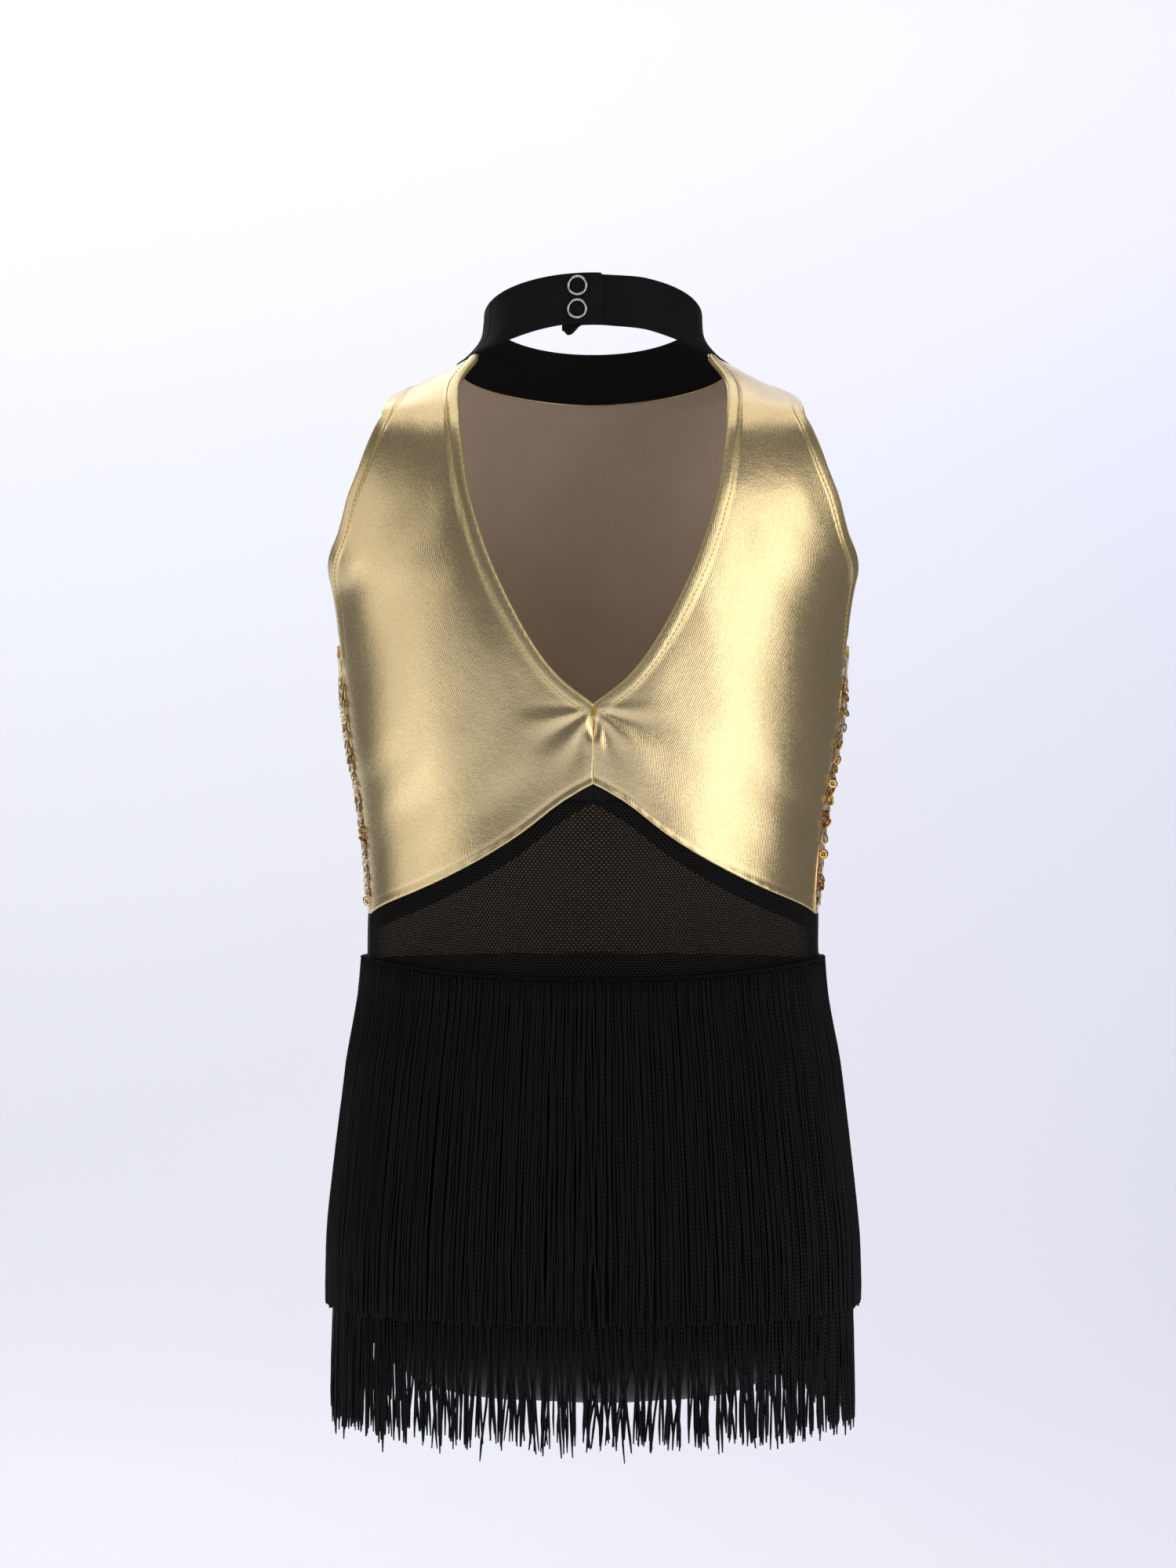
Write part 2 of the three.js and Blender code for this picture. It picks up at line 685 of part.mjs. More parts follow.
function addWaist() {
  const seam = SIDE_SEAM_ANGLE - 0.13;
  const meshTop = (degrees) => chevronHeight(degrees) - HALF_GAP;
  const meshFoot = (degrees) => waistSeam(degrees) + HALF_GAP;
  piece("waist_mesh_back", sheet(band(-seam, seam, meshFoot, meshTop, 4, 18), 0, SHELL), BLACK_MESH);
  const tapeTop = (degrees) => chevronHeight(degrees) - SEAM_GAP;
  const tapeFoot = (degrees) => tapeTop(degrees) - SEAM_TAPE_WIDTH;
  const tape = band(0.3, seam, tapeFoot, tapeTop, 1, 12);
  piece("chevron_seam_tape_left", sheet(tape, FACING_FOOT, FACING_TOP), BLACK_KNIT);
  piece("chevron_seam_tape_right", sheet(mirrored(tape), FACING_FOOT, FACING_TOP), BLACK_KNIT);
  const frontTop = (degrees) => frontFoot(degrees) - HALF_GAP;
  const front = band(seam + 0.26, 360 - seam - 0.26, meshFoot, frontTop, 2, 24);
  piece("front_waist_panel", sheet(front, 0, SHELL), BLACK_KNIT);
  const label = band(60, 72, () => -270, () => -244, 2, 3);
  piece("care_label", sheet(label, FACING_FOOT - 0.9, FACING_FOOT - 0.5), WHITE_SATIN);
}

// ---- briefs ----

// The row of the ring that passes over a point on the underside.
function rowOver(x, y) {
  let inside = rowAt(LEG_TOP);
  let outside = FORM.length - 1;
  for (let i = 0; i < 30; i++) {
    const middle = (inside + outside) / 2;
    const ring = ringAt(middle);
    const depth = y >= 0 ? ring.back : ring.front;
    const reach = Math.abs(x / ring.halfWidth) ** ring.squareness + Math.abs(y / depth) ** ring.squareness;
    if (reach < 1) inside = middle;
    else outside = middle;
  }
  return inside;
}

function placeUnder(x, y) {
  const row = rowOver(x, y);
  const ring = ringAt(row);
  const depth = y >= 0 ? ring.back : ring.front;
  const power = ring.squareness / 2;
  return { angle: Math.atan2(toward(x / ring.halfWidth, power), toward(y / depth, power)), row };
}

// On the rounded underside, curves are drawn in angle and row instead of in space.
const toMap = (p) => new THREE.Vector3(p.angle, p.row, 0);
const fromMap = (v) => ({ angle: v.x, row: v.y });

// Left edge of a leg opening, from the side seam down to the gusset, on the back (1) or the front (-1).
function legEdge(facing, sideAngle) {
  const points = facing > 0 ? BACK_LEG : FRONT_LEG;
  const seam = facing > 0 ? GUSSET_BACK + HALF_GAP : GUSSET_FRONT - HALF_GAP;
  const places = [
    place(sideAngle, LEG_TOP),
    ...points.map(([x, z]) => placeAcross(x, z, facing)),
    placeUnder(GUSSET_HALF_WIDTH, seam),
  ];
  return new THREE.CatmullRomCurve3(places.map(toMap), false, "centripetal");
}

// The left half of the back (facing 1) or front (-1) of the briefs, from the waist to the gusset.
function briefsGrid(facing) {
  const sideAngle = facing > 0 ? 89.85 : 90.15;
  const rows = 15;
  const sideShare = 6 / rows;
  const leg = legEdge(facing, sideAngle);
  const top = (degrees) => waistSeam(degrees) - HALF_GAP;
  const seam = facing > 0 ? GUSSET_BACK + HALF_GAP : GUSSET_FRONT - HALF_GAP;
  const waistRow = (degrees) => rowAt(top(degrees));
  const beside = (row) => {
    const ring = ringAt(row);
    const angle = Math.asin((HALF_GAP / ring.halfWidth) ** (ring.squareness / 2));
    return { angle: facing > 0 ? angle : Math.PI - angle, row };
  };
  const centreTop = beside(waistRow(facing > 0 ? 0 : 180));
  const centreFoot = placeUnder(HALF_GAP, seam);
  const edge = (t) => {
    if (t > sideShare) return fromMap(leg.getPointAt((t - sideShare) / (1 - sideShare)));
    const row = lerp(waistRow(sideAngle), rowAt(LEG_TOP), t / sideShare);
    return { angle: degToRad(sideAngle), row };
  };
  const centreSeam = (t) => beside(lerp(centreTop.row, centreFoot.row, t));
  const waist = (t) => {
    const angle = lerp(degToRad(sideAngle), centreTop.angle, t);
    return { angle, row: waistRow(radToDeg(angle)) };
  };
  const gussetSeam = (t) => placeUnder(lerp(GUSSET_HALF_WIDTH, HALF_GAP, t), seam);
  const curve = (position) => ({ getPoint: (t) => toMap(position(t)) });
  return panel(curve(waist), curve(gussetSeam), curve(edge), curve(centreSeam), rows, 9, fromMap);
}

// A level sheet under the form, between the rear and the front seam of the gusset.
function gussetSheet(halfWidth, low, high) {
  const rows = 6;
  const columns = 8;
  const layer = (lift) =>
    Array.from({ length: rows + 1 }, (_, i) =>
      Array.from({ length: columns + 1 }, (_, j) => {
        const x = lerp(halfWidth, -halfWidth, j / columns);
        const y = lerp(GUSSET_BACK - HALF_GAP, GUSSET_FRONT + HALF_GAP, i / rows);
        return new THREE.Vector3(x, y, column(0, rowOver(x, y)) + lift);
      }),
    );
  return shell(layer(low), layer(high));
}

function addBriefs() {
  for (const [side, facing] of [["back", 1], ["front", -1]]) {
    const half = briefsGrid(facing);
    piece(`briefs_${side}_left`, sheet(half, 0, SHELL), BLACK_KNIT);
    piece(`briefs_${side}_right`, sheet(mirrored(half), 0, SHELL), BLACK_KNIT);
  }
  piece("gusset", gussetSheet(GUSSET_HALF_WIDTH, -SHELL, 0), BLACK_KNIT);
  const liningHalfWidth = GUSSET_HALF_WIDTH - LEG_ELASTIC_WIDTH - 1;
  const lining = gussetSheet(liningHalfWidth, LAYER_GAP, LAYER_GAP + LINING);
  piece("gusset_lining", lining, NUDE_TRICOT);
}

function addLegElastics() {
  const steps = 12;
  const walk = (curve) =>
    Array.from({ length: steps + 1 }, (_, i) => fromMap(curve.getPointAt(i / steps)));
  const loop = [...walk(legEdge(1, 90)), ...walk(legEdge(-1, 90)).reverse().slice(0, -1)];
  const top = -CURVE_GAP;
  const left = strip(loop, 0.3, LEG_ELASTIC_WIDTH, top - FACING, top, true);
  piece("leg_elastic_left", left, BLACK_KNIT);
  const right = strip(mirroredPlaces(loop), 0.3, LEG_ELASTIC_WIDTH, top - FACING, top, true);
  piece("leg_elastic_right", right, BLACK_KNIT);
}

// ---- skirt ----

const upperTop = (degrees) => waistSeam(degrees) - HEADER_HEIGHT - FRINGE_HANG_GAP;
const lowerTop = () => LOWER_HEADER_TOP - HEADER_HEIGHT - FRINGE_HANG_GAP;

// The ring that a fringe hangs in at a height: as wide as the widest ring of the body above it.
function drape(z) {
  const ring = { ...ringAt(rowAt(z)), z };
  const steps = 24;
  for (let i = 0; i <= steps; i++) {
    const above = ringAt(rowAt(lerp(WAIST_SEAM, z, i / steps)));
    ring.halfWidth = Math.max(ring.halfWidth, above.halfWidth);
    ring.back = Math.max(ring.back, above.back);
    ring.front = Math.max(ring.front, above.front);
  }
  ring.squareness = 2.2;
  return ring;
}

const OFF_BODY = SHELL + SKIRT_CLEARANCE;

function lowerGrow(z) {
  return OFF_BODY + (LOWER_FLARE * (LOWER_HEADER_TOP - z)) / FRINGE_LENGTH;
}

function upperGrow(z) {
  const over = 1 - smoothstep(z, LOWER_HEADER_TOP, WAIST_SEAM - HEADER_HEIGHT);
  const flare = (UPPER_FLARE * (WAIST_SEAM - z)) / FRINGE_LENGTH;
  return lerp(OFF_BODY, lowerGrow(Math.min(z, LOWER_HEADER_TOP)) + FRINGE + SKIRT_CLEARANCE, over) + flare;
}

// One tier's sector of hanging strands, as a curved slab.
function fringeSector([from, to], top, grow) {
  const rows = 5;
  const columns = 6;
  const layer = (thickness) => {
    const grid = [];
    for (let i = 0; i <= rows; i++) {
      grid.push([]);
      for (let j = 0; j <= columns; j++) {
        const degrees = lerp(from + SECTOR_CUT, to - SECTOR_CUT, j / columns);
        const z = lerp(top(degrees), top(90) - FRINGE_LENGTH, i / rows);
        grid[i].push(onRing(drape(z), degToRad(degrees), grow(z) + thickness));
      }
    }
    return grid;
  };
  return shell(layer(FRINGE), layer(0));
}

function header(top, grow) {
  const columns = 48;
  const layer = (thickness) =>
    [0, HEADER_HEIGHT].map((drop) =>
      Array.from({ length: columns }, (_, j) => {
        const degrees = (360 * j) / columns;
        const z = top(degrees) - drop;
        return onRing(drape(z), degToRad(degrees), grow(z) + thickness);
      }),
    );
  return shell(layer(HEADER), layer(0), true);
}

function addSkirt() {
  piece("upper_fringe_header", header(waistSeam, upperGrow), BLACK_KNIT);
  piece("lower_fringe_header", header(() => LOWER_HEADER_TOP, lowerGrow), BLACK_KNIT);
  for (const [name, ...span] of SECTORS) {
    piece(`upper_fringe_${name}`, fringeSector(span, upperTop, upperGrow), BLACK_FRINGE);
    piece(`lower_fringe_${name}`, fringeSector(span, lowerTop, lowerGrow), BLACK_FRINGE);
  }
}

addCollar();
addSnaps();
addBodice();
addFacings();
addBarTack();
addWaist();
addBriefs();
addLegElastics();
addSkirt();

export default model;
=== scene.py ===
import math

import bpy
import numpy as np
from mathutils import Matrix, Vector


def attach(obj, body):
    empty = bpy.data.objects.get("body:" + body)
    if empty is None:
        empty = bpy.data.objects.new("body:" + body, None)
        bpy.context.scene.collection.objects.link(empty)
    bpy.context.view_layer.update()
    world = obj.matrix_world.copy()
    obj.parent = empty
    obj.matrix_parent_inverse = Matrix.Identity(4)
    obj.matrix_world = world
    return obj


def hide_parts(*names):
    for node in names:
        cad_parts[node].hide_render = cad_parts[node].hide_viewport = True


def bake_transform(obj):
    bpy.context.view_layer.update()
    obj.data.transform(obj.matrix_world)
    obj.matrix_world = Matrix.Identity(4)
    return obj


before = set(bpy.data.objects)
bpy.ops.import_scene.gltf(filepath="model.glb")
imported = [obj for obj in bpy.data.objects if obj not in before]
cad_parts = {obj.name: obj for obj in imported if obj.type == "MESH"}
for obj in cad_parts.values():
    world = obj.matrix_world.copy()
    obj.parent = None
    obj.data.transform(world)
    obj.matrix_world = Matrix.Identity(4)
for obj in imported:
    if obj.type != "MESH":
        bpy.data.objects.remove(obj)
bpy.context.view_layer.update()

# Looks of a girl's halter-neck dance leotard with a two-tier fringe skirt.
# Shapes are worked out in millimetres on the same body form as the CAD, and written to meshes in metres.
MM = 0.001
rng = np.random.default_rng(7)

# ---------------------------------------------------------------- sizes, as in the CAD
# height, half width, depth behind the axis, depth in front of it, squareness
FORM = np.array([
    [32, 48.5, 46.5, 42, 2.0], [12, 49.8, 47.5, 44, 2.0], [0, 51.5, 48.5, 46.5, 2.0],
    [-9, 59, 50, 48.5, 1.8], [-14, 67, 52, 50, 1.62], [-21, 81, 55, 52, 1.52],
    [-28, 98, 58.5, 55, 1.6], [-38, 126, 63, 59, 1.8], [-50, 137, 67, 63, 2.0],
    [-75, 138.5, 73.5, 70, 2.15], [-100, 133.5, 77, 75, 2.25], [-122, 123.5, 78, 78, 2.3],
    [-150, 119, 77, 79, 2.25], [-185, 115.5, 73.5, 77, 2.2], [-225, 108.5, 69, 73, 2.2],
    [-265, 105, 68, 71, 2.2], [-300, 106, 72, 72, 2.2], [-345, 110, 81, 75.5, 2.2],
    [-390, 114.5, 89.5, 78.5, 2.2], [-425, 117, 91.5, 78, 2.2], [-455, 115.5, 87, 74, 2.2],
    [-475, 107, 77.5, 65, 2.2], [-487, 90, 62, 50, 2.1], [-493, 64, 43, 33, 2.0],
    [-495.4, 38, 25, 19, 2.0], [-496.6, 10, 6, 5, 2.0],
])
SHELL, SEAM_GAP, NECK_SEAM_GAP = 1.2, 0.5, 0.7
LAYER_GAP, CURVE_GAP = 0.8, 1.4
FACING, FACING_WIDTH, LINING, SEAM_TAPE_WIDTH = 0.8, 6, 0.6, 8
COLLAR, COLLAR_TOP, COLLAR_TOP_RISE = 1.6, 11.9, 14
COLLAR_BOTTOM, COLLAR_BOTTOM_RISE, COLLAR_BOTTOM_FALL = -11, 14.6, 14
STRAP_ANGLE, COLLAR_CUT, OVER_TAB_ANGLE, UNDER_TAB_ANGLE, UNDER_TAB_DROP = 69, 0.6, -4, 17, 4
SNAP_ANGLE, SNAP_FROM_TOP = 8.2, 5.4
SNAP_RING_RADIUS, SNAP_RING_HOLE, SNAP_RING_GAP, SNAP_RING_HEIGHT = 4.75, 3.55, 1.3, 1
SOCKET_RADIUS, SOCKET_HOLE, SOCKET_HEIGHT = 4, 2.2, 1.4
STUD_RADIUS, STUD_REACH, STUD_FLANGE, SNAP_GAP, BEND_ROOM = 1.2, 0.9, 0.5, 0.3, 0.2
SIDE_SEAM_ANGLE, UNDERARM, SHOULDER_END = 78, -150, -24.4
HALF_SEAM_ANGLE = 0.13
SIDE_SEAM_POINTS = (-225, -185)
OPENING = [(0, -172.7), (15.8, -161), (28, -145.5), (46.2, -110.3), (57.2, -76.6), (62, -40), (61.2, -20)]
BACK_ARMHOLE = [(120.9, -115.4), (116.5, -92.5), (111.5, -74.7), (105.9, -60), (97.8, -40.6)]
UNDERARM_CURVE = [(87, -153), (97, -146)]
FRONT_ARMHOLE = [(108, -120), (97, -97), (90, -70), (88, -45)]
CHEVRON = [(0, -209), (14.5, -217.3), (35, -233), (57, -246.4), (80, -257.7)]
BODICE_SIDE, BODICE_FRONT = -269.4, -258
WAIST_SEAM, WAIST_SEAM_DIP, HEADER_HEIGHT, HEADER = -291.5, 7.5, 10, 1.4
LOWER_HEADER_TOP, FRINGE_LENGTH, FRINGE, FRINGE_HANG_GAP = -347, 150, 2, 0.5
SKIRT_CLEARANCE, LOWER_FLARE, UPPER_FLARE, LEG_TOP = 0.8, 2, 1, -428
BACK_LEG = [(105.7, -459.9), (87.5, -477.6), (69.3, -486.6)]
FRONT_LEG = [(98, -455), (70, -476)]
GUSSET_HALF_WIDTH, GUSSET_BACK, GUSSET_FRONT, LEG_ELASTIC_WIDTH = 33, 16, -12, 7
SECTORS = [
    ("back", -18, 18), ("back_left", 18, 62), ("left", 62, 118), ("front_left", 118, 162),
    ("front", 162, 198), ("front_right", 198, 242), ("right", 242, 298), ("back_right", 298, 342),
]
HALF_GAP = SEAM_GAP / 2
BACK_SEAM, FRONT_SEAM = SIDE_SEAM_ANGLE - HALF_SEAM_ANGLE, SIDE_SEAM_ANGLE + HALF_SEAM_ANGLE
FIRST_DEGREE = SECTORS[0][1]
OFF_BODY = SHELL + SKIRT_CLEARANCE


# ---------------------------------------------------------------- the form as a surface
def column(k, row):
    row = np.asarray(row, float)
    last = len(FORM) - 1
    i = np.clip(np.floor(row).astype(int), 0, last - 1)
    t = row - i
    p, q, r, s = (FORM[np.clip(i + j, 0, last), k] for j in (-1, 0, 1, 2))
    return q + 0.5 * t * (r - p + t * (2 * p - 5 * q + 4 * r - s + t * (3 * (q - r) + s - p)))


FINE_ROWS = np.linspace(0, len(FORM) - 1, 25001)
FINE_HEIGHTS = -column(0, FINE_ROWS)


def row_at(z):
    return np.interp(-np.asarray(z, float), FINE_HEIGHTS, FINE_ROWS)


def power(value, p):
    return np.sign(value) * np.abs(value) ** p


def ring_at(row):
    return [column(k, row) for k in range(5)]


def on_ring(ring, angle, grow=0.0):
    z, half, back, front, square = ring
    c, s = np.cos(angle), np.sin(angle)
    depth = np.where(c >= 0, back, front)
    x = (half + grow) * power(s, 2 / square)
    y = (depth + grow) * power(c, 2 / square)
    return np.stack(np.broadcast_arrays(x, y, z), -1).astype(float)


def on_form(places):
    return on_ring(ring_at(places[..., 1]), places[..., 0])


def unit(v):
    return v / np.maximum(np.linalg.norm(v, axis=-1, keepdims=True), 1e-12)


def moved(places, angle, row):
    return places + np.array([angle, row], float)


def outward(places):
    across = on_form(moved(places, 0.01, 0)) - on_form(moved(places, -0.01, 0))
    down = on_form(moved(places, 0, 0.02)) - on_form(moved(places, 0, -0.02))
    return unit(np.cross(across, down))


def lifted(places, lift):
    lift = np.asarray(lift, float)
    return on_form(places) + outward(places) * (lift[..., None] if lift.ndim else lift)


def place(degrees, z):
    degrees, z = np.broadcast_arrays(np.asarray(degrees, float), np.asarray(z, float))
    return np.stack([np.radians(degrees), row_at(z)], -1)


def place_across(x, z, facing):
    row = row_at(z)
    _, half, _, _, square = ring_at(row)
    angle = np.arcsin(np.minimum(1, (x / half) ** (square / 2)))
    return np.array([angle if facing > 0 else np.pi - angle, row], float)


def place_on_ridge(y, z):
    row = row_at(z)
    _, _, back, front, square = ring_at(row)
    lean = np.arccos((abs(y) / (back if y >= 0 else front)) ** (square / 2))
    return np.array([lean if y >= 0 else np.pi - lean, row], float)


def settle(points):
    row = row_at(points[..., 2])
    _, half, back, front, square = ring_at(row)
    depth = np.where(points[..., 1] >= 0, back, front)
    angle = np.arctan2(power(points[..., 0] / half, square / 2), power(points[..., 1] / depth, square / 2))
    return np.stack([angle, row], -1)


def nearest(start, points):
    """Places on the form nearest to points, looked for from places close by."""
    places = start.copy()
    for _ in range(6):
        error = points - on_form(places)
        across = on_form(moved(places, 0.01, 0)) - on_form(moved(places, -0.01, 0))
        down = on_form(moved(places, 0, 0.01)) - on_form(moved(places, 0, -0.01))
        aa, ad, dd = (across * across).sum(-1), (across * down).sum(-1), (down * down).sum(-1)
        ea, ed = (error * across).sum(-1), (error * down).sum(-1)
        scale = 0.02 / (aa * dd - ad * ad)
        places[..., 0] += (ea * dd - ed * ad) * scale
        places[..., 1] += (ed * aa - ea * ad) * scale
    return places


# ---------------------------------------------------------------- curves and grids on the form
def spline(points, steps=24):
    """A centripetal Catmull-Rom curve through points, as a polyline."""
    p = np.asarray(points, float)
    p = np.vstack([2 * p[0] - p[1], p, 2 * p[-1] - p[-2]])
    t = np.arange(steps)[:, None] / steps
    out = []
    for a, b, c, d in zip(p, p[1:], p[2:], p[3:]):
        ta, tb, tc = (max(np.linalg.norm(v - u), 1e-9) ** 0.5 for u, v in ((a, b), (b, c), (c, d)))
        m = ((b - a) / ta - (c - a) / (ta + tb) + (c - b) / tb) * tb
        n = ((c - b) / tb - (d - b) / (tb + tc) + (d - c) / tc) * tb
        out.append(b + t * m + t * t * (3 * (c - b) - 2 * m - n) + t ** 3 * (2 * (b - c) + m + n))
    return np.vstack([*out, p[-2:-1]])


def through(places):
    return spline(on_form(np.asarray(places, float)))


def chain(*curves):
    return np.vstack([curves[0], *[c[1:] for c in curves[1:]]])


def lengths(points):
    steps = np.linalg.norm(np.diff(points, axis=0), axis=-1)
    return np.concatenate([[0], np.cumsum(steps)])


def walk(points, shares):
    at = lengths(points)
    wanted = np.asarray(shares) * at[-1]
    return np.stack([np.interp(wanted, at, points[:, k]) for k in range(points.shape[1])], -1)


def panel(foot, head, left, right, rows, columns, to_place=settle):
    """The grid of places inside four edges; foot and head run from the left edge to the right one."""
    u, v = np.linspace(0, 1, columns + 1), np.linspace(0, 1, rows + 1)
    f, h, l, r = walk(foot, u), walk(head, u), walk(left, v), walk(right, v)
    u, v = u[None, :, None], v[:, None, None]
    points = (1 - v) * f[None] + v * h[None] + (1 - u) * l[:, None] + u * r[:, None]
    points -= (1 - u) * (1 - v) * f[0] + u * (1 - v) * f[-1] + (1 - u) * v * h[0] + u * v * h[-1]
    return to_place(points)


def band(start, end, low, high, rows, columns):
    degrees = np.linspace(start, end, columns + 1)[None, :]
    v = np.linspace(0, 1, rows + 1)[:, None]
    return place(degrees + 0 * v, low(degrees) * (1 - v) + high(degrees) * v)


def mirror(places):
    return places * np.array([-1, 1.0])


def smooth(value, low, high):
    t = np.clip((np.asarray(value, float) - low) / (high - low), 0, 1)
    return t * t * (3 - 2 * t)


def bell(value, width):
    return np.exp(-(np.asarray(value, float) / width) ** 2)


def gap_to(points, curve):
    """Distance of each point of a grid from a polyline."""
    flat = points.reshape(-1, 3)
    out = np.empty(len(flat))
    for i in range(0, len(flat), 4000):
        out[i:i + 4000] = np.sqrt(((flat[i:i + 4000, None] - curve[None]) ** 2).sum(-1).min(1))
    return out.reshape(points.shape[:-1])


# ---------------------------------------------------------------- edges of the bodice, collar and briefs
def back_share(degrees):
    return np.cos(np.radians(degrees))


def collar_top(degrees):
    return COLLAR_TOP + COLLAR_TOP_RISE * back_share(degrees)


def collar_bottom(degrees):
    share = back_share(degrees)
    rise = COLLAR_BOTTOM_RISE * np.maximum(share, 0) ** 1.5
    return COLLAR_BOTTOM + rise - COLLAR_BOTTOM_FALL * np.maximum(-share, 0) ** 1.5


SOCKET_TOP = -SNAP_GAP - BEND_ROOM
STUD_FLANGE_TOP = SOCKET_TOP - SOCKET_HEIGHT - SNAP_GAP
UNDER_TAB_FACE = STUD_FLANGE_TOP - STUD_FLANGE - SNAP_GAP


def under_tab_depth(places):
    return (UNDER_TAB_FACE - COLLAR) * smooth(np.degrees(places[..., 0]), -30, OVER_TAB_ANGLE - 5)


def under_tab_bottom(degrees):
    corner = smooth(degrees, 6, UNDER_TAB_ANGLE - 4) * UNDER_TAB_DROP
    return collar_bottom(degrees) - corner * (1 - 0.6 * smooth(degrees, UNDER_TAB_ANGLE - 3, UNDER_TAB_ANGLE))


chevron_points = [(np.degrees(place_across(x, z, 1)[0]), z) for x, z in CHEVRON]
chevron_curve = spline([*chevron_points, (SIDE_SEAM_ANGLE, BODICE_SIDE)])


def chevron_height(degrees):
    return np.interp(np.abs(degrees), chevron_curve[:, 0], chevron_curve[:, 1])


def front_foot(degrees):
    return BODICE_SIDE + (BODICE_FRONT - BODICE_SIDE) * np.maximum(0, -back_share(degrees)) ** 0.8


def waist_seam(degrees):
    return WAIST_SEAM - WAIST_SEAM_DIP * np.maximum(0, back_share(degrees)) ** 2


def neckline(degrees):
    return collar_bottom(degrees) - NECK_SEAM_GAP


def ring_places(start, end, height, steps):
    degrees = np.linspace(start, end, steps + 1)
    return place(degrees, height(degrees))


def shoulder_seam(y):
    start = neckline(90)
    return np.array([place_on_ridge(y, start + (SHOULDER_END - start) * t) for t in (0, 0.25, 0.5, 0.75, 1)])


def armhole(facing, seam_angle):
    points = BACK_ARMHOLE if facing > 0 else FRONT_ARMHOLE
    below = [] if facing > 0 else [place(d, z) for d, z in UNDERARM_CURVE if d > seam_angle]
    beside = [place_across(x, z, facing) for x, z in points]
    shoulder = place_on_ridge(facing * HALF_GAP, SHOULDER_END)
    return through([place(seam_angle, UNDERARM), *below, *beside, shoulder])


def opening_edge(shift=HALF_GAP):
    centre = place_across(shift, OPENING[0][1] - 0.5, 1)
    opening = [place_across(x, z, 1) for x, z in OPENING[1:]]
    return through([centre, *opening, place(STRAP_ANGLE, neckline(STRAP_ANGLE))])


def back_panel_grid(rows, columns):
    seam = BACK_SEAM
    foot = through(ring_places(0.15, seam, lambda a: chevron_height(a) + HALF_GAP, 60))
    along_collar = ring_places(STRAP_ANGLE, 88.5, neckline, 5)
    head = chain(
        through([*along_collar, place_on_ridge(HALF_GAP, neckline(90))]), through(shoulder_seam(HALF_GAP))
    )
    centre_foot = on_form(place(0.15, chevron_height(0) + HALF_GAP))
    edge = opening_edge()
    inner = chain(np.array([centre_foot, edge[0]]), edge)
    side = through([place(seam, z) for z in (chevron_height(seam) + HALF_GAP, *SIDE_SEAM_POINTS, UNDERARM)])
    return panel(foot, head, inner, chain(side, armhole(1, seam)), rows, columns)


def front_edges(foot, seam):
    def flip(p):
        return np.array([2 * np.pi, 0]) + p * np.array([-1, 1])

    collar_edge = ring_places(91.5, 268.5, neckline, 30)
    ridge = shoulder_seam(-HALF_GAP)
    end = ridge[0]
    head = chain(through(ridge[::-1]), through([end, *collar_edge, flip(end)]), through(flip(ridge)))
    side = place(seam, foot(seam) + (UNDERARM - foot(seam)) * np.array([0, 0.35, 0.7, 1]))
    edge = armhole(-1, seam)
    left = chain(through(side), edge)
    right = chain(through(flip(side)), edge * np.array([-1, 1, 1]))
    return through(ring_places(seam, 360 - seam, foot, 72)), head, left, right


def armhole_loop(count):
    back, front = armhole(1, SIDE_SEAM_ANGLE), armhole(-1, SIDE_SEAM_ANGLE)
    shoulder = on_form(place_on_ridge(0, SHOULDER_END))[None]
    loop = chain(back[:-1], shoulder, front[:-1][::-1])
    return settle(walk(loop, np.arange(count) / count))


def row_over(x, y):
    """The row of the ring that passes over a point of the underside."""
    x, y = np.broadcast_arrays(np.asarray(x, float), np.asarray(y, float))
    inside = np.full(x.shape, float(row_at(LEG_TOP)))
    outside = np.full(x.shape, float(len(FORM) - 1))
    for _ in range(30):
        middle = (inside + outside) / 2
        _, half, back, front, square = ring_at(middle)
        depth = np.where(y >= 0, back, front)
        within = np.abs(x / half) ** square + np.abs(y / depth) ** square < 1
        inside, outside = np.where(within, middle, inside), np.where(within, outside, middle)
    return inside


def place_under(x, y):
    row = row_over(x, y)
    _, half, back, front, square = ring_at(row)
    depth = np.where(np.asarray(y) >= 0, back, front)
    return np.stack([np.arctan2(power(x / half, square / 2), power(y / depth, square / 2)), row], -1)


def leg_edge(facing, side_angle):
    points = BACK_LEG if facing > 0 else FRONT_LEG
    seam = GUSSET_BACK + HALF_GAP if facing > 0 else GUSSET_FRONT - HALF_GAP
    return spline([
        place(side_angle, LEG_TOP), *[place_across(x, z, facing) for x, z in points],
        place_under(GUSSET_HALF_WIDTH, seam),
    ])


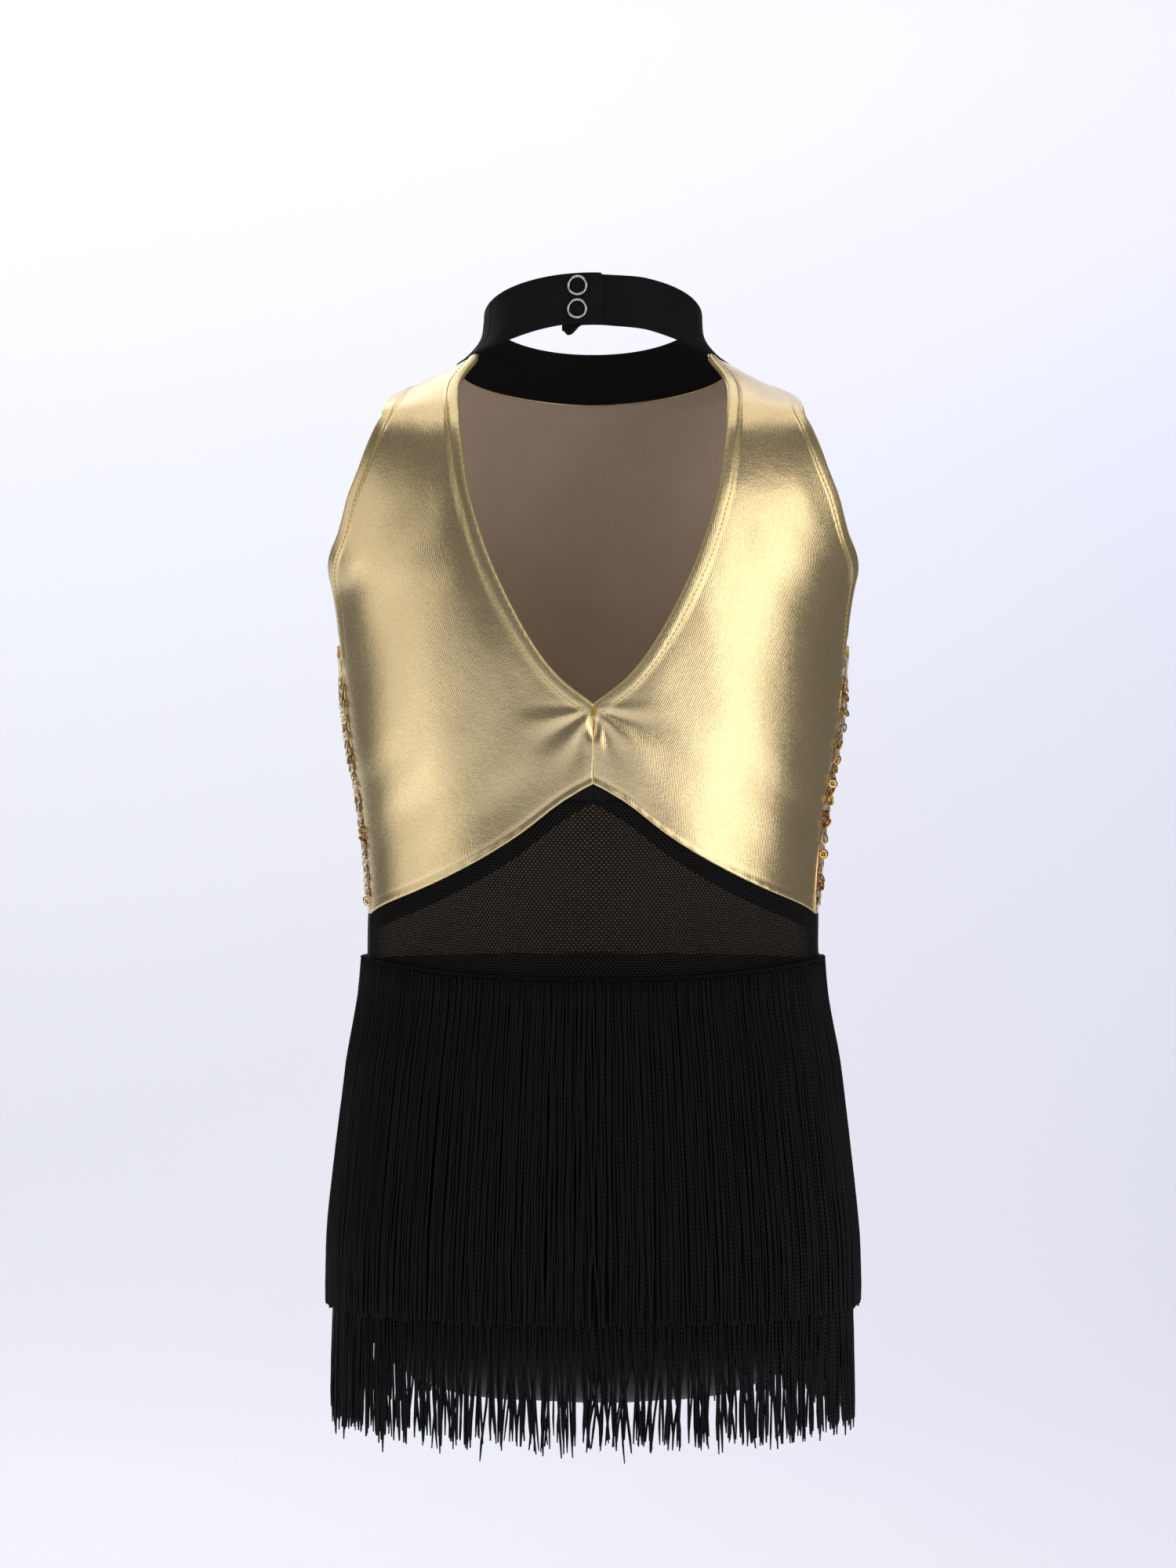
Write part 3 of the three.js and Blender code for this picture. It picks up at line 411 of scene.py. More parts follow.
def briefs_grid(facing, rows, columns):
    centre = 0 if facing > 0 else np.pi
    side = 89.85 if facing > 0 else 90.15
    share = 0.4
    leg = leg_edge(facing, side)
    top = waist_seam(np.array(side)) - HALF_GAP
    seam = GUSSET_BACK + HALF_GAP if facing > 0 else GUSSET_FRONT - HALF_GAP

    def opposite(p):
        return np.array([2 * centre, 0]) + p * np.array([-1, 1])

    t = np.linspace(0, 1, rows + 1)
    u = np.linspace(0, 1, columns + 1)
    straight = np.stack([np.full(rows + 1, np.radians(side)),
                         row_at(top) + (row_at(LEG_TOP) - row_at(top)) * t / share], -1)
    left = np.where((t <= share)[:, None], straight, walk(leg, np.clip((t - share) / (1 - share), 0, 1)))
    angle = np.radians(side) + (2 * centre - 2 * np.radians(side)) * u
    waist = np.stack([angle, row_at(waist_seam(np.degrees(angle)) - HALF_GAP)], -1)
    foot = place_under(GUSSET_HALF_WIDTH * np.abs(1 - 2 * u), seam)
    foot = np.where((u > 0.5)[:, None], opposite(foot), foot)
    right = opposite(left)
    u, v = u[None, :, None], t[:, None, None]
    grid = (1 - v) * waist[None] + v * foot[None] + (1 - u) * left[:, None] + u * right[:, None]
    corners = (1 - u) * (1 - v) * waist[0] + u * (1 - v) * waist[-1] + (1 - u) * v * foot[0] + u * v * foot[-1]
    return grid - corners


# ---------------------------------------------------------------- meshes
def unwrapped(grid):
    """Real-size texture coordinates of a grid of points, in metres."""
    across = np.linalg.norm(np.diff(grid, axis=1), axis=-1)
    down = np.linalg.norm(np.diff(grid, axis=0), axis=-1)
    s = np.concatenate([np.zeros((len(grid), 1)), np.cumsum(across, 1)], 1)
    s -= s[:, s.shape[1] // 2][:, None]
    t = np.concatenate([np.zeros((1, grid.shape[1])), np.cumsum(down, 0)], 0)
    return np.stack([s, t], -1) * MM


def thick(outer, inner, wrap=False, bulge=0.35, rings=1):
    """Points, quads and texture coordinates of one closed sheet with rounded edges, between two grids."""
    rows, columns = outer.shape[:2]
    n = rows * columns
    grid = np.arange(n).reshape(rows, columns)
    if wrap:
        grid = np.hstack([grid, grid[:, :1]])
    a, b, c, d = grid[:-1, :-1], grid[:-1, 1:], grid[1:, 1:], grid[1:, :-1]
    quads = [np.stack([a, b, c, d], -1).reshape(-1, 4), np.stack([d, c, b, a], -1).reshape(-1, 4) + n]
    uv = unwrapped(outer)
    points, coords = [outer.reshape(-1, 3), inner.reshape(-1, 3)], [uv.reshape(-1, 2)] * 2
    if wrap:
        loops = [(grid[0, :-1], grid[1, :-1]), (grid[-1, :-1][::-1], grid[-2, :-1][::-1])]
    else:
        edge = np.concatenate([grid[0, :-1], grid[:-1, -1], grid[-1, :0:-1], grid[:0:-1, 0]])
        i, j = np.unravel_index(edge, (rows, columns))
        near = grid[np.clip(i, 1, rows - 2), np.clip(j, 1, columns - 2)]
        loops = [(edge, near)]
    base = 2 * n
    for edge, near in loops:
        o, p = points[0][edge], points[1][edge]
        middle = (o + p) / 2
        out = unit(middle - (points[0][near] + points[1][near]) / 2)
        depth = np.linalg.norm(o - p, axis=-1, keepdims=True) * bulge
        last = edge
        count = len(edge)
        for k in range(1, rings + 1):
            turn = np.pi * k / (rings + 1)
            points.append(middle + (o - middle) * np.cos(turn) + out * depth * np.sin(turn))
            coords.append(coords[0][edge])
            ring = base + np.arange(count)
            quads.append(np.stack([last, ring, np.roll(ring, -1), np.roll(last, -1)], -1))
            last, base = ring, base + count
        quads.append(np.stack([last, edge + n, np.roll(edge, -1) + n, np.roll(last, -1)], -1))
    return np.vstack(points), np.vstack(quads), np.vstack(coords)


def volume(points, quads):
    a, b, c, d = (points[quads[:, k]] for k in range(4))
    return ((np.cross(b - a, c - a) + np.cross(c - a, d - a)) * a).sum()


def build(name, points, faces, uv=None, layers=None, flip=None):
    """A mesh object from points in millimetres. faces is an array, or several of different corner counts."""
    faces = [faces] if isinstance(faces, np.ndarray) else faces
    if flip is None:
        flip = volume(points, faces[0]) < 0 if faces[0].shape[1] == 4 else False
    if flip:
        faces = [f[:, ::-1] for f in faces]
    mesh = bpy.data.meshes.new(name)
    mesh.vertices.add(len(points))
    mesh.vertices.foreach_set("co", (points * MM).astype(np.float32).ravel())
    corners = np.concatenate([f.ravel() for f in faces]).astype(np.int32)
    sizes = np.concatenate([np.full(len(f), f.shape[1]) for f in faces])
    mesh.loops.add(len(corners))
    mesh.loops.foreach_set("vertex_index", corners)
    mesh.polygons.add(len(sizes))
    mesh.polygons.foreach_set("loop_start", np.concatenate([[0], np.cumsum(sizes)[:-1]]).astype(np.int32))
    mesh.polygons.foreach_set("use_smooth", np.ones(len(sizes), bool))
    if uv is not None:
        layer = mesh.uv_layers.new(name="UVMap")
        layer.data.foreach_set("uv", uv[corners].astype(np.float32).ravel())
    for label, values in (layers or {}).items():
        mesh.attributes.new(label, "FLOAT", "POINT").data.foreach_set("value", np.asarray(values, np.float32))
    mesh.update(calc_edges=True)
    mesh.validate()
    made = bpy.data.objects.new(name, mesh)
    bpy.context.scene.collection.objects.link(made)
    return made


def dress(made, look, body="garment", nodes=()):
    """Gives a piece its material and body, and hides the CAD nodes that it stands for."""
    made.data.materials.append(look)
    if body:
        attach(made, body)
    if nodes:
        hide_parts(*nodes)
    return made


LEAST_SIDE, LEAST_SHARE = 0.01, 0.301


def flat_size(grid, wrap=False):
    """The longest row and the longest column of a grid of points in metres, and its area in square metres."""
    if wrap:
        grid = np.hstack([grid, grid[:, :1]])
    across = np.linalg.norm(np.diff(grid, axis=1), axis=-1).sum(1).max() * MM
    down = np.linalg.norm(np.diff(grid, axis=0), axis=-1).sum(0).max() * MM
    a, b, c, d = grid[:-1, :-1], grid[:-1, 1:], grid[1:, 1:], grid[1:, :-1]
    halves = np.linalg.norm(np.cross(b - a, d - a), axis=-1) + np.linalg.norm(np.cross(b - c, d - c), axis=-1)
    return (float(across), float(down)), float(halves.sum() / 2 * MM * MM)


def declare(grid, wrap=False, with_pieces=()):
    """Works out the flat size and area of a piece of cloth's outer face; nothing is done with them."""
    size, area = flat_size(grid, wrap)
    size = (max(size[0], LEAST_SIDE), max(size[1], LEAST_SIDE))
    area = max(min(area, size[0] * size[1]), LEAST_SHARE * size[0] * size[1])


def sheet(name, grid, inner, outer, look, nodes, rings=1):
    """A sheet of cloth on a grid of places between two lifts off the form."""
    top, under = lifted(grid, outer), lifted(grid, inner)
    points, quads, uv = thick(top, under, rings=rings)
    made = build(name, points, quads, uv)
    dress(made, look, "garment", nodes)
    declare(top)


TUBE_UV_WIDTH = 0.004


def tube(path, radius, sides):
    """Points, faces and texture coordinates of closed tubes.

    path is (tubes, rings, 3), and radius is a number or (tubes, rings).
    """
    count, rings = path.shape[:2]
    along = unit(np.gradient(path, axis=1))
    guide = np.array([0.31, 0.74, 0.6])
    aside = unit(np.cross(along, np.broadcast_to(guide, along.shape)))
    up = np.cross(aside, along)
    turn = 2 * np.pi * np.arange(sides) / sides
    radius = np.broadcast_to(np.asarray(radius, float), (count, rings))[..., None, None]
    shape = np.cos(turn)[:, None] * aside[:, :, None] + np.sin(turn)[:, None] * up[:, :, None]
    points = path[:, :, None] + radius * shape
    index = np.arange(count * rings * sides).reshape(count, rings, sides)
    around = np.roll(index, -1, axis=2)
    quads = np.stack([index[:, :-1], around[:, :-1], around[:, 1:], index[:, 1:]], -1).reshape(-1, 4)
    caps = np.concatenate([index[:, 0, ::-1], index[:, -1]]).reshape(-1, sides)
    steps = np.linalg.norm(np.diff(path, axis=1), axis=-1)
    distance = np.concatenate([np.zeros((count, 1)), np.cumsum(steps, 1)], 1)
    s = np.broadcast_to(np.arange(sides) / sides * TUBE_UV_WIDTH, (count, rings, sides))
    t = np.broadcast_to(distance[:, :, None] * MM, (count, rings, sides))
    return points.reshape(-1, 3), [quads, caps], np.stack([s, t], -1).reshape(-1, 2)


def scatter(points, faces, centres, axes):
    """Copies of a small mesh: axes holds three unit vectors for each copy."""
    n = len(centres)
    placed = np.einsum("nkj,njc->nkc", np.broadcast_to(points, (n, *points.shape)), axes) + centres[:, None]
    shift = (np.arange(n) * len(points))[:, None, None]
    return placed.reshape(-1, 3), [(f[None] + shift).reshape(-1, f.shape[1]) for f in faces]


STITCH_T = np.linspace(-1, 1, 7)
STITCH_JITTER = 0.06


def stitches(name, path, normals, look, pitch, length, radius, rise, slot="gold_thread"):
    """A row of separate thread stitches along a curve: each rises from the cloth and dips back in."""
    at = lengths(path)
    count = max(2, int(at[-1] / pitch))
    centre = (np.arange(count) + 0.5) * at[-1] / count
    along = centre[:, None] + STITCH_T[None] * length / 2
    line = np.stack([np.interp(along, at, path[:, k]) for k in range(3)], -1)
    up = unit(np.stack([np.interp(along, at, normals[:, k]) for k in range(3)], -1))
    aside = unit(np.cross(np.gradient(line, axis=1), up))
    shift = rng.normal(0, STITCH_JITTER, (count, 1, 1))
    slant = rng.normal(0, STITCH_JITTER, (count, 1, 1))
    wobble = shift + slant * STITCH_T[None, :, None]
    line = line + aside * wobble + up * (rise * (1 - 1.9 * np.abs(STITCH_T) ** 2.5))[None, :, None]
    thickness = radius * (1 - 0.35 * STITCH_T ** 4)
    points, faces, uv = tube(line, np.broadcast_to(thickness, (count, len(STITCH_T))), 6)
    return dress(build(name, points, faces, uv), look)


# ---------------------------------------------------------------- materials
def new_look(name, color, roughness, metallic=0.0, **inputs):
    look = bpy.data.materials.new(name)
    look.use_nodes = True
    look.diffuse_color = (*color, 1)
    shader = look.node_tree.nodes["Principled BSDF"]
    shader.inputs["Base Color"].default_value = (*color, 1)
    shader.inputs["Roughness"].default_value = roughness
    shader.inputs["Metallic"].default_value = metallic
    for key, value in inputs.items():
        shader.inputs[key.replace("_", " ")].default_value = value
    return look, shader


def add(look, kind, props=None, **links):
    """A node with properties, and inputs given by value or by the socket that feeds them."""
    made = look.node_tree.nodes.new(kind)
    for key, value in (props or {}).items():
        setattr(made, key, value)
    for key, value in links.items():
        socket = made.inputs[int(key[1:]) if key[0] == "i" and key[1:].isdigit() else key.replace("_", " ")]
        if isinstance(value, bpy.types.NodeSocket):
            look.node_tree.links.new(value, socket)
        else:
            socket.default_value = value
    return made


def join(look, source, shader, socket):
    look.node_tree.links.new(source, shader.inputs[socket])


def coords(look, kind="Object"):
    return add(look, "ShaderNodeTexCoord").outputs[kind]


def stretched(look, vector, scale):
    return add(look, "ShaderNodeMapping", Vector=vector, Scale=scale).outputs[0]


def noise(look, vector, scale, detail=2.0, roughness=0.5):
    made = add(look, "ShaderNodeTexNoise", Vector=vector, Scale=scale, Detail=detail, Roughness=roughness)
    return made.outputs["Fac"]


def wave(look, vector, pitch_mm, direction="X", distortion=0.0, detail=0.0):
    """Bands that repeat every pitch_mm; at scale 1 the texture repeats every pi / 10 metres."""
    scale = 100 * math.pi / pitch_mm
    return add(look, "ShaderNodeTexWave", {"bands_direction": direction}, Vector=vector, Scale=scale,
               Distortion=distortion, Detail=detail).outputs["Fac"]


def ramp(look, value, low, high):
    """Maps 0..1 linearly to low..high."""
    return add(look, "ShaderNodeMapRange", i0=value, i3=low, i4=high).outputs[0]


def blend_colors(look, value, first, second):
    mix = add(look, "ShaderNodeMix", {"data_type": "RGBA"})
    look.node_tree.links.new(value, mix.inputs[0])
    for socket, color in ((mix.inputs[6], first), (mix.inputs[7], second)):
        if isinstance(color, bpy.types.NodeSocket):
            look.node_tree.links.new(color, socket)
        else:
            socket.default_value = (*color, 1)
    return mix.outputs[2]


def bump(look, shader, height, distance, strength=1.0, before=None):
    links = {"Height": height, "Distance": distance, "Strength": strength}
    if before is not None:
        links["Normal"] = before
    made = add(look, "ShaderNodeBump", **links)
    look.node_tree.links.new(made.outputs[0], shader.inputs["Normal"])
    return made.outputs[0]


def math_node(look, operation, first, second):
    return add(look, "ShaderNodeMath", {"operation": operation}, i0=first, i1=second).outputs[0]


def weighted(look, first, first_weight, second, second_weight):
    """The sum of two values, each times its weight."""
    parts = math_node(look, "MULTIPLY", first, first_weight), math_node(look, "MULTIPLY", second, second_weight)
    return math_node(look, "ADD", *parts)


def gold_foil():
    """Foil printed on a knit: fine metal grains with the knit's columns under them, dull where it is worn."""
    look, shader = new_look("gold_foil_knit", (0.80, 0.62, 0.31), 0.30, 0.94)
    at, uv = coords(look), coords(look, "UV")
    patches = noise(look, at, 55, 3, 0.6)
    grains = add(look, "ShaderNodeTexVoronoi", Vector=at, Scale=1700).outputs["Distance"]
    tint = add(look, "ShaderNodeTexVoronoi", Vector=at, Scale=1700).outputs["Color"]
    fine = noise(look, at, 900, 2, 0.7)
    base = blend_colors(look, patches, (0.83, 0.63, 0.33), (0.74, 0.55, 0.27))
    speckle = ramp(look, fine, -0.35, 1.15)
    base = blend_colors(look, speckle, base, (0.91, 0.77, 0.48))
    worn = add(look, "ShaderNodeAttribute", {"attribute_name": "worn"}).outputs["Fac"]
    rubbed = math_node(look, "MULTIPLY", worn, ramp(look, fine, 0.2, 1.3))
    base = blend_colors(look, rubbed, base, (0.80, 0.66, 0.30))
    join(look, base, shader, "Base Color")
    dull = math_node(look, "ADD", ramp(look, patches, 0.15, 0.27), ramp(look, grains, 0.0, 0.06))
    dull = math_node(look, "ADD", dull, math_node(look, "MULTIPLY", rubbed, 0.15))
    join(look, dull, shader, "Roughness")
    join(look, ramp(look, rubbed, 0.94, 0.6), shader, "Metallic")
    columns = wave(look, uv, 0.9)
    first = bump(look, shader, columns, 0.00004, 0.5)
    second = bump(look, shader, grains, 0.00003, 0.8, first)
    wrinkles = noise(look, at, 130, 4, 0.6)
    third = bump(look, shader, wrinkles, 0.0003, 0.35, second)
    bump(look, shader, tint, 0.00002, 0.6, third)
    return look


def knit(name, color, light, roughness, pitch_mm=0.8, sheen=0.25, depth=0.00012):
    """Fine jersey: columns of stitches with cross courses, and a little fuzz."""
    look, shader = new_look(name, color, roughness, 0.0, Sheen_Weight=sheen, Sheen_Roughness=0.45)
    shader.inputs["Sheen Tint"].default_value = (*light, 1)
    shader.inputs["Specular IOR Level"].default_value = 0.16
    at, uv = coords(look), coords(look, "UV")
    columns = wave(look, uv, pitch_mm, "X", 0.6, 1)
    courses = wave(look, uv, pitch_mm * 0.8, "Y", 1.2, 1)
    fuzz = noise(look, at, 1400, 3, 0.7)
    patches = noise(look, at, 45, 3, 0.5)
    weave = weighted(look, columns, 0.7, courses, 0.3)
    tone = weighted(look, weave, 0.35, patches, 0.65)
    join(look, blend_colors(look, tone, color, light), shader, "Base Color")
    join(look, ramp(look, fuzz, roughness - 0.12, min(1.0, roughness + 0.1)), shader, "Roughness")
    first = bump(look, shader, weave, depth, 0.9)
    bump(look, shader, fuzz, depth * 0.8, 0.7, first)
    return look


def chainette():
    """Crocheted fringe cord: a row of small slanted loops."""
    sheen = {"Sheen_Weight": 0.02, "Sheen_Roughness": 0.4}
    look, shader = new_look("black_fringe", (0.003, 0.003, 0.004), 0.5, 0.0, **sheen)
    shader.inputs["Specular IOR Level"].default_value = 0.13
    at, uv = coords(look), coords(look, "UV")
    turned = add(look, "ShaderNodeMapping", Vector=uv, Rotation=(0, 0, math.radians(35)))
    loops = wave(look, turned.outputs[0], 1.6, "Y", 0.8, 1)
    strand = noise(look, at, 260, 2, 0.5)
    fuzz = noise(look, at, 1600, 2, 0.7)
    tone = weighted(look, loops, 0.5, strand, 0.5)
    base = blend_colors(look, tone, (0.0015, 0.0015, 0.002), (0.008, 0.008, 0.0095))
    join(look, base, shader, "Base Color")
    join(look, ramp(look, strand, 0.42, 0.62), shader, "Roughness")
    first = bump(look, shader, loops, 0.00025, 0.9)
    bump(look, shader, fuzz, 0.00008, 0.6, first)
    return look


def silver():
    look, shader = new_look("silver_snap", (0.80, 0.81, 0.82), 0.16, 1.0)
    at = coords(look)
    smear = noise(look, stretched(look, at, (1, 1, 6)), 900, 3, 0.7)
    spots = noise(look, at, 350, 3, 0.6)
    join(look, ramp(look, spots, 0.08, 0.34), shader, "Roughness")
    join(look, blend_colors(look, spots, (0.72, 0.72, 0.73), (0.90, 0.90, 0.90)), shader, "Base Color")
    bump(look, shader, smear, 0.00002, 0.5)
    return look


def thread(name, dark, light, metallic=0.1):
    """Twisted sewing thread."""
    look, shader = new_look(name, light, 0.45, metallic, Sheen_Weight=0.2)
    at, uv = coords(look), coords(look, "UV")
    turned = add(look, "ShaderNodeMapping", Vector=uv, Rotation=(0, 0, math.radians(30)))
    twist = wave(look, turned.outputs[0], 0.6, "Y", 0.3)
    patches = noise(look, at, 300, 2, 0.5)
    tone = weighted(look, twist, 0.6, patches, 0.4)
    join(look, blend_colors(look, tone, dark, light), shader, "Base Color")
    join(look, ramp(look, patches, 0.35, 0.55), shader, "Roughness")
    bump(look, shader, twist, 0.00008, 0.8)
    return look


def sequin_foil():
    """Stamped metallised film; tone differs from sequin to sequin."""
    coat = {"Coat_Weight": 0.3, "Coat_Roughness": 0.08}
    look, shader = new_look("gold_sequins", (0.85, 0.60, 0.25), 0.2, 0.95, **coat)
    at = coords(look)
    tone = add(look, "ShaderNodeAttribute", {"attribute_name": "tone"}).outputs["Fac"]
    colors = add(look, "ShaderNodeValToRGB")
    stops = [
        (0.0, (0.45, 0.20, 0.05)), (0.25, (0.80, 0.45, 0.12)),
        (0.6, (0.86, 0.66, 0.30)), (1.0, (0.93, 0.84, 0.58)),
    ]
    colors.color_ramp.elements[0].color = (*stops[0][1], 1)
    colors.color_ramp.elements[1].color = (*stops[-1][1], 1)
    for position, color in stops[1:-1]:
        colors.color_ramp.elements.new(position).color = (*color, 1)
    join(look, tone, colors, "Fac")
    smudge = noise(look, at, 500, 3, 0.6)
    base = blend_colors(look, ramp(look, smudge, 0.0, 0.35), colors.outputs[0], (0.55, 0.32, 0.10))
    join(look, base, shader, "Base Color")
    join(look, ramp(look, smudge, 0.12, 0.32), shader, "Roughness")
    bump(look, shader, smudge, 0.00003, 0.5)
    return look


def satin():
    look, shader = new_look("white_satin", (0.84, 0.83, 0.80), 0.4, 0.0, Sheen_Weight=0.3)
    at, uv = coords(look), coords(look, "UV")
    weft = wave(look, uv, 0.35, "Y", 0.4, 1)
    patches = noise(look, at, 120, 3, 0.5)
    join(look, blend_colors(look, patches, (0.80, 0.79, 0.76), (0.90, 0.89, 0.86)), shader, "Base Color")
    join(look, ramp(look, weft, 0.32, 0.5), shader, "Roughness")
    bump(look, shader, weft, 0.00003, 0.7)
    return look


GOLD = gold_foil()
BLACK = knit("black_knit", (0.003, 0.003, 0.0035), (0.009, 0.009, 0.0105), 0.78, 0.75, 0.05)
BRIEFS = knit("black_briefs_knit", (0.003, 0.003, 0.0035), (0.008, 0.008, 0.0095), 0.6, 0.6, 0.03, 0.00007)
NET = knit("black_power_mesh", (0.004, 0.0037, 0.0035), (0.012, 0.011, 0.010), 0.65, 0.5, 0.05, 0.00004)
NUDE = knit("nude_tricot", (0.50, 0.37, 0.28), (0.64, 0.50, 0.39), 0.75, 0.55, 0.3, 0.00006)
CORD = chainette()
SILVER = silver()
GOLD_THREAD = thread("gold_thread", (0.55, 0.36, 0.05), (0.86, 0.65, 0.18), 0.25)
BLACK_THREAD = thread("black_thread", (0.006, 0.006, 0.008), (0.03, 0.03, 0.034))
FILM = sequin_foil()
SATIN = satin()

# ---------------------------------------------------------------- collar and snaps
def collar_piece(name, grid, depth, node, body):
    """A doubled band with slightly rolled edges and a pressed seam inside them."""
    top = lifted(grid, depth + COLLAR)
    low_gap = np.linalg.norm(top - top[:1], axis=-1)
    high_gap = np.linalg.norm(top - top[-1:], axis=-1)
    edge = np.minimum(low_gap, high_gap)
    angle, z = grid[..., 0], top[..., 2]
    relief = 0.12 * bell(edge - 0.9, 0.9) - 0.22 * bell(edge - 2.6, 0.45)
    relief += 0.16 * np.sin(angle * 9 + z * 0.12) * smooth(edge, 2, 6)
    outer, inner = lifted(grid, depth + COLLAR + relief), lifted(grid, depth + 0.15 + relief * 0.4)
    points, quads, uv = thick(outer, inner, False, 0.4, 3)
    made = build(name, points, quads, uv)
    dress(made, BLACK, body, [node])
    declare(outer)


front_start = STRAP_ANGLE + COLLAR_CUT
front_band = band(front_start, 360 - STRAP_ANGLE - COLLAR_CUT, lambda a: neckline(a) - 0.4, collar_top, 26, 190)
collar_piece("collar_front_cloth", front_band, 0, "collar_front", "garment")
over_band = band(OVER_TAB_ANGLE, STRAP_ANGLE - COLLAR_CUT, collar_bottom, collar_top, 26, 80)
collar_piece("collar_over_tab_cloth", over_band, 0, "collar_over_tab", "collar_tab")
under_band = band(COLLAR_CUT - STRAP_ANGLE, UNDER_TAB_ANGLE, under_tab_bottom, collar_top, 26, 100)
collar_piece("collar_under_tab_cloth", under_band, under_tab_depth(under_band), "collar_under_tab", "garment")


def turned(name, profile, z, body, node, segments=56):
    """A turned silver part on a snap's axis; the profile is radius and lift."""
    seat = place(SNAP_ANGLE, z)
    up = outward(seat)
    aside = unit(np.cross(np.array([0, 0, 1.0]), up))
    above = np.cross(up, aside)
    profile = np.array(profile, float)
    turn = 2 * np.pi * np.arange(segments) / segments
    radial = np.cos(turn)[:, None] * aside + np.sin(turn)[:, None] * above
    points = on_form(seat) + profile[:, 0][:, None, None] * radial[None] + profile[:, 1][:, None, None] * up
    index = np.arange(len(profile) * segments).reshape(len(profile), segments)
    closed = np.vstack([index, index[:1]])
    a, b = closed[:-1], np.roll(closed[:-1], -1, 1)
    c, d = np.roll(closed[1:], -1, 1), closed[1:]
    quads = np.stack([a, b, c, d], -1).reshape(-1, 4)
    made = build(name, points.reshape(-1, 3), quads)
    bevel = made.modifiers.new("soft", "BEVEL")
    bevel.width, bevel.segments, bevel.limit_method, bevel.angle_limit = 0.0001, 2, "ANGLE", math.radians(35)
    dress(made, SILVER, body, [node])


RING_SINK = 0.25  # how far a pressed ring sits into the cloth


def ring_profile(base, side):
    """Round-shouldered ring with a shallow groove on its face, as pressed prong rings have."""
    middle = (SNAP_RING_HOLE + SNAP_RING_RADIUS) / 2
    half = (SNAP_RING_RADIUS - SNAP_RING_HOLE) / 2
    turn = np.linspace(0, np.pi, 13)
    face = [(middle + half * np.cos(t), base + side * SNAP_RING_HEIGHT * np.sin(t) ** 0.7) for t in turn]
    return [(SNAP_RING_HOLE + 0.05, base), (SNAP_RING_RADIUS - 0.05, base), *face]


def snap(label, z):
    foot, flange = SOCKET_TOP - SOCKET_HEIGHT, STUD_FLANGE_TOP - STUD_FLANGE
    tip = foot + STUD_REACH
    base = UNDER_TAB_FACE - COLLAR - SNAP_GAP - 1.5 * BEND_ROOM
    rings = ring_profile(COLLAR + SNAP_GAP - RING_SINK, 1), ring_profile(base + RING_SINK, -1)
    socket = [
        (SOCKET_HOLE, foot + 0.25), (SOCKET_HOLE + 0.25, foot),
        (SOCKET_RADIUS - 0.3, foot), (SOCKET_RADIUS, foot + 0.3),
        (SOCKET_RADIUS, SOCKET_TOP - 0.1), (SOCKET_RADIUS - 0.1, SOCKET_TOP),
        (SOCKET_HOLE + 0.1, SOCKET_TOP), (SOCKET_HOLE, SOCKET_TOP - 0.1),
        (SOCKET_HOLE + 0.2, (foot + SOCKET_TOP) / 2),
    ]
    stud = [
        (0.01, flange), (SOCKET_RADIUS - 0.1, flange),
        (SOCKET_RADIUS, flange + 0.12), (SOCKET_RADIUS, STUD_FLANGE_TOP - 0.12),
        (SOCKET_RADIUS - 0.1, STUD_FLANGE_TOP), (STUD_RADIUS + 0.1, STUD_FLANGE_TOP),
        (STUD_RADIUS - 0.1, STUD_FLANGE_TOP + 0.15), (STUD_RADIUS, tip - 0.3),
        (STUD_RADIUS - 0.25, tip), (0.01, tip),
    ]
    turned(f"cap_ring_{label}", rings[0], z, "collar_tab", f"snap_cap_ring_{label}")
    turned(f"socket_{label}", socket, z, "collar_tab", f"snap_socket_{label}")
    turned(f"stud_{label}", stud, z, "garment", f"snap_stud_{label}")
    turned(f"back_ring_{label}", rings[1], z, "garment", f"snap_back_ring_{label}")


upper_snap = float(collar_top(SNAP_ANGLE) - SNAP_FROM_TOP)
snap("upper", upper_snap)
snap("lower", upper_snap - 2 * SNAP_RING_RADIUS - SNAP_RING_GAP)

# ---------------------------------------------------------------- gold back
V_FOOT = OPENING[0][1]
STITCH_ROW = 4.8  # from the edge of an opening to its row of stitches


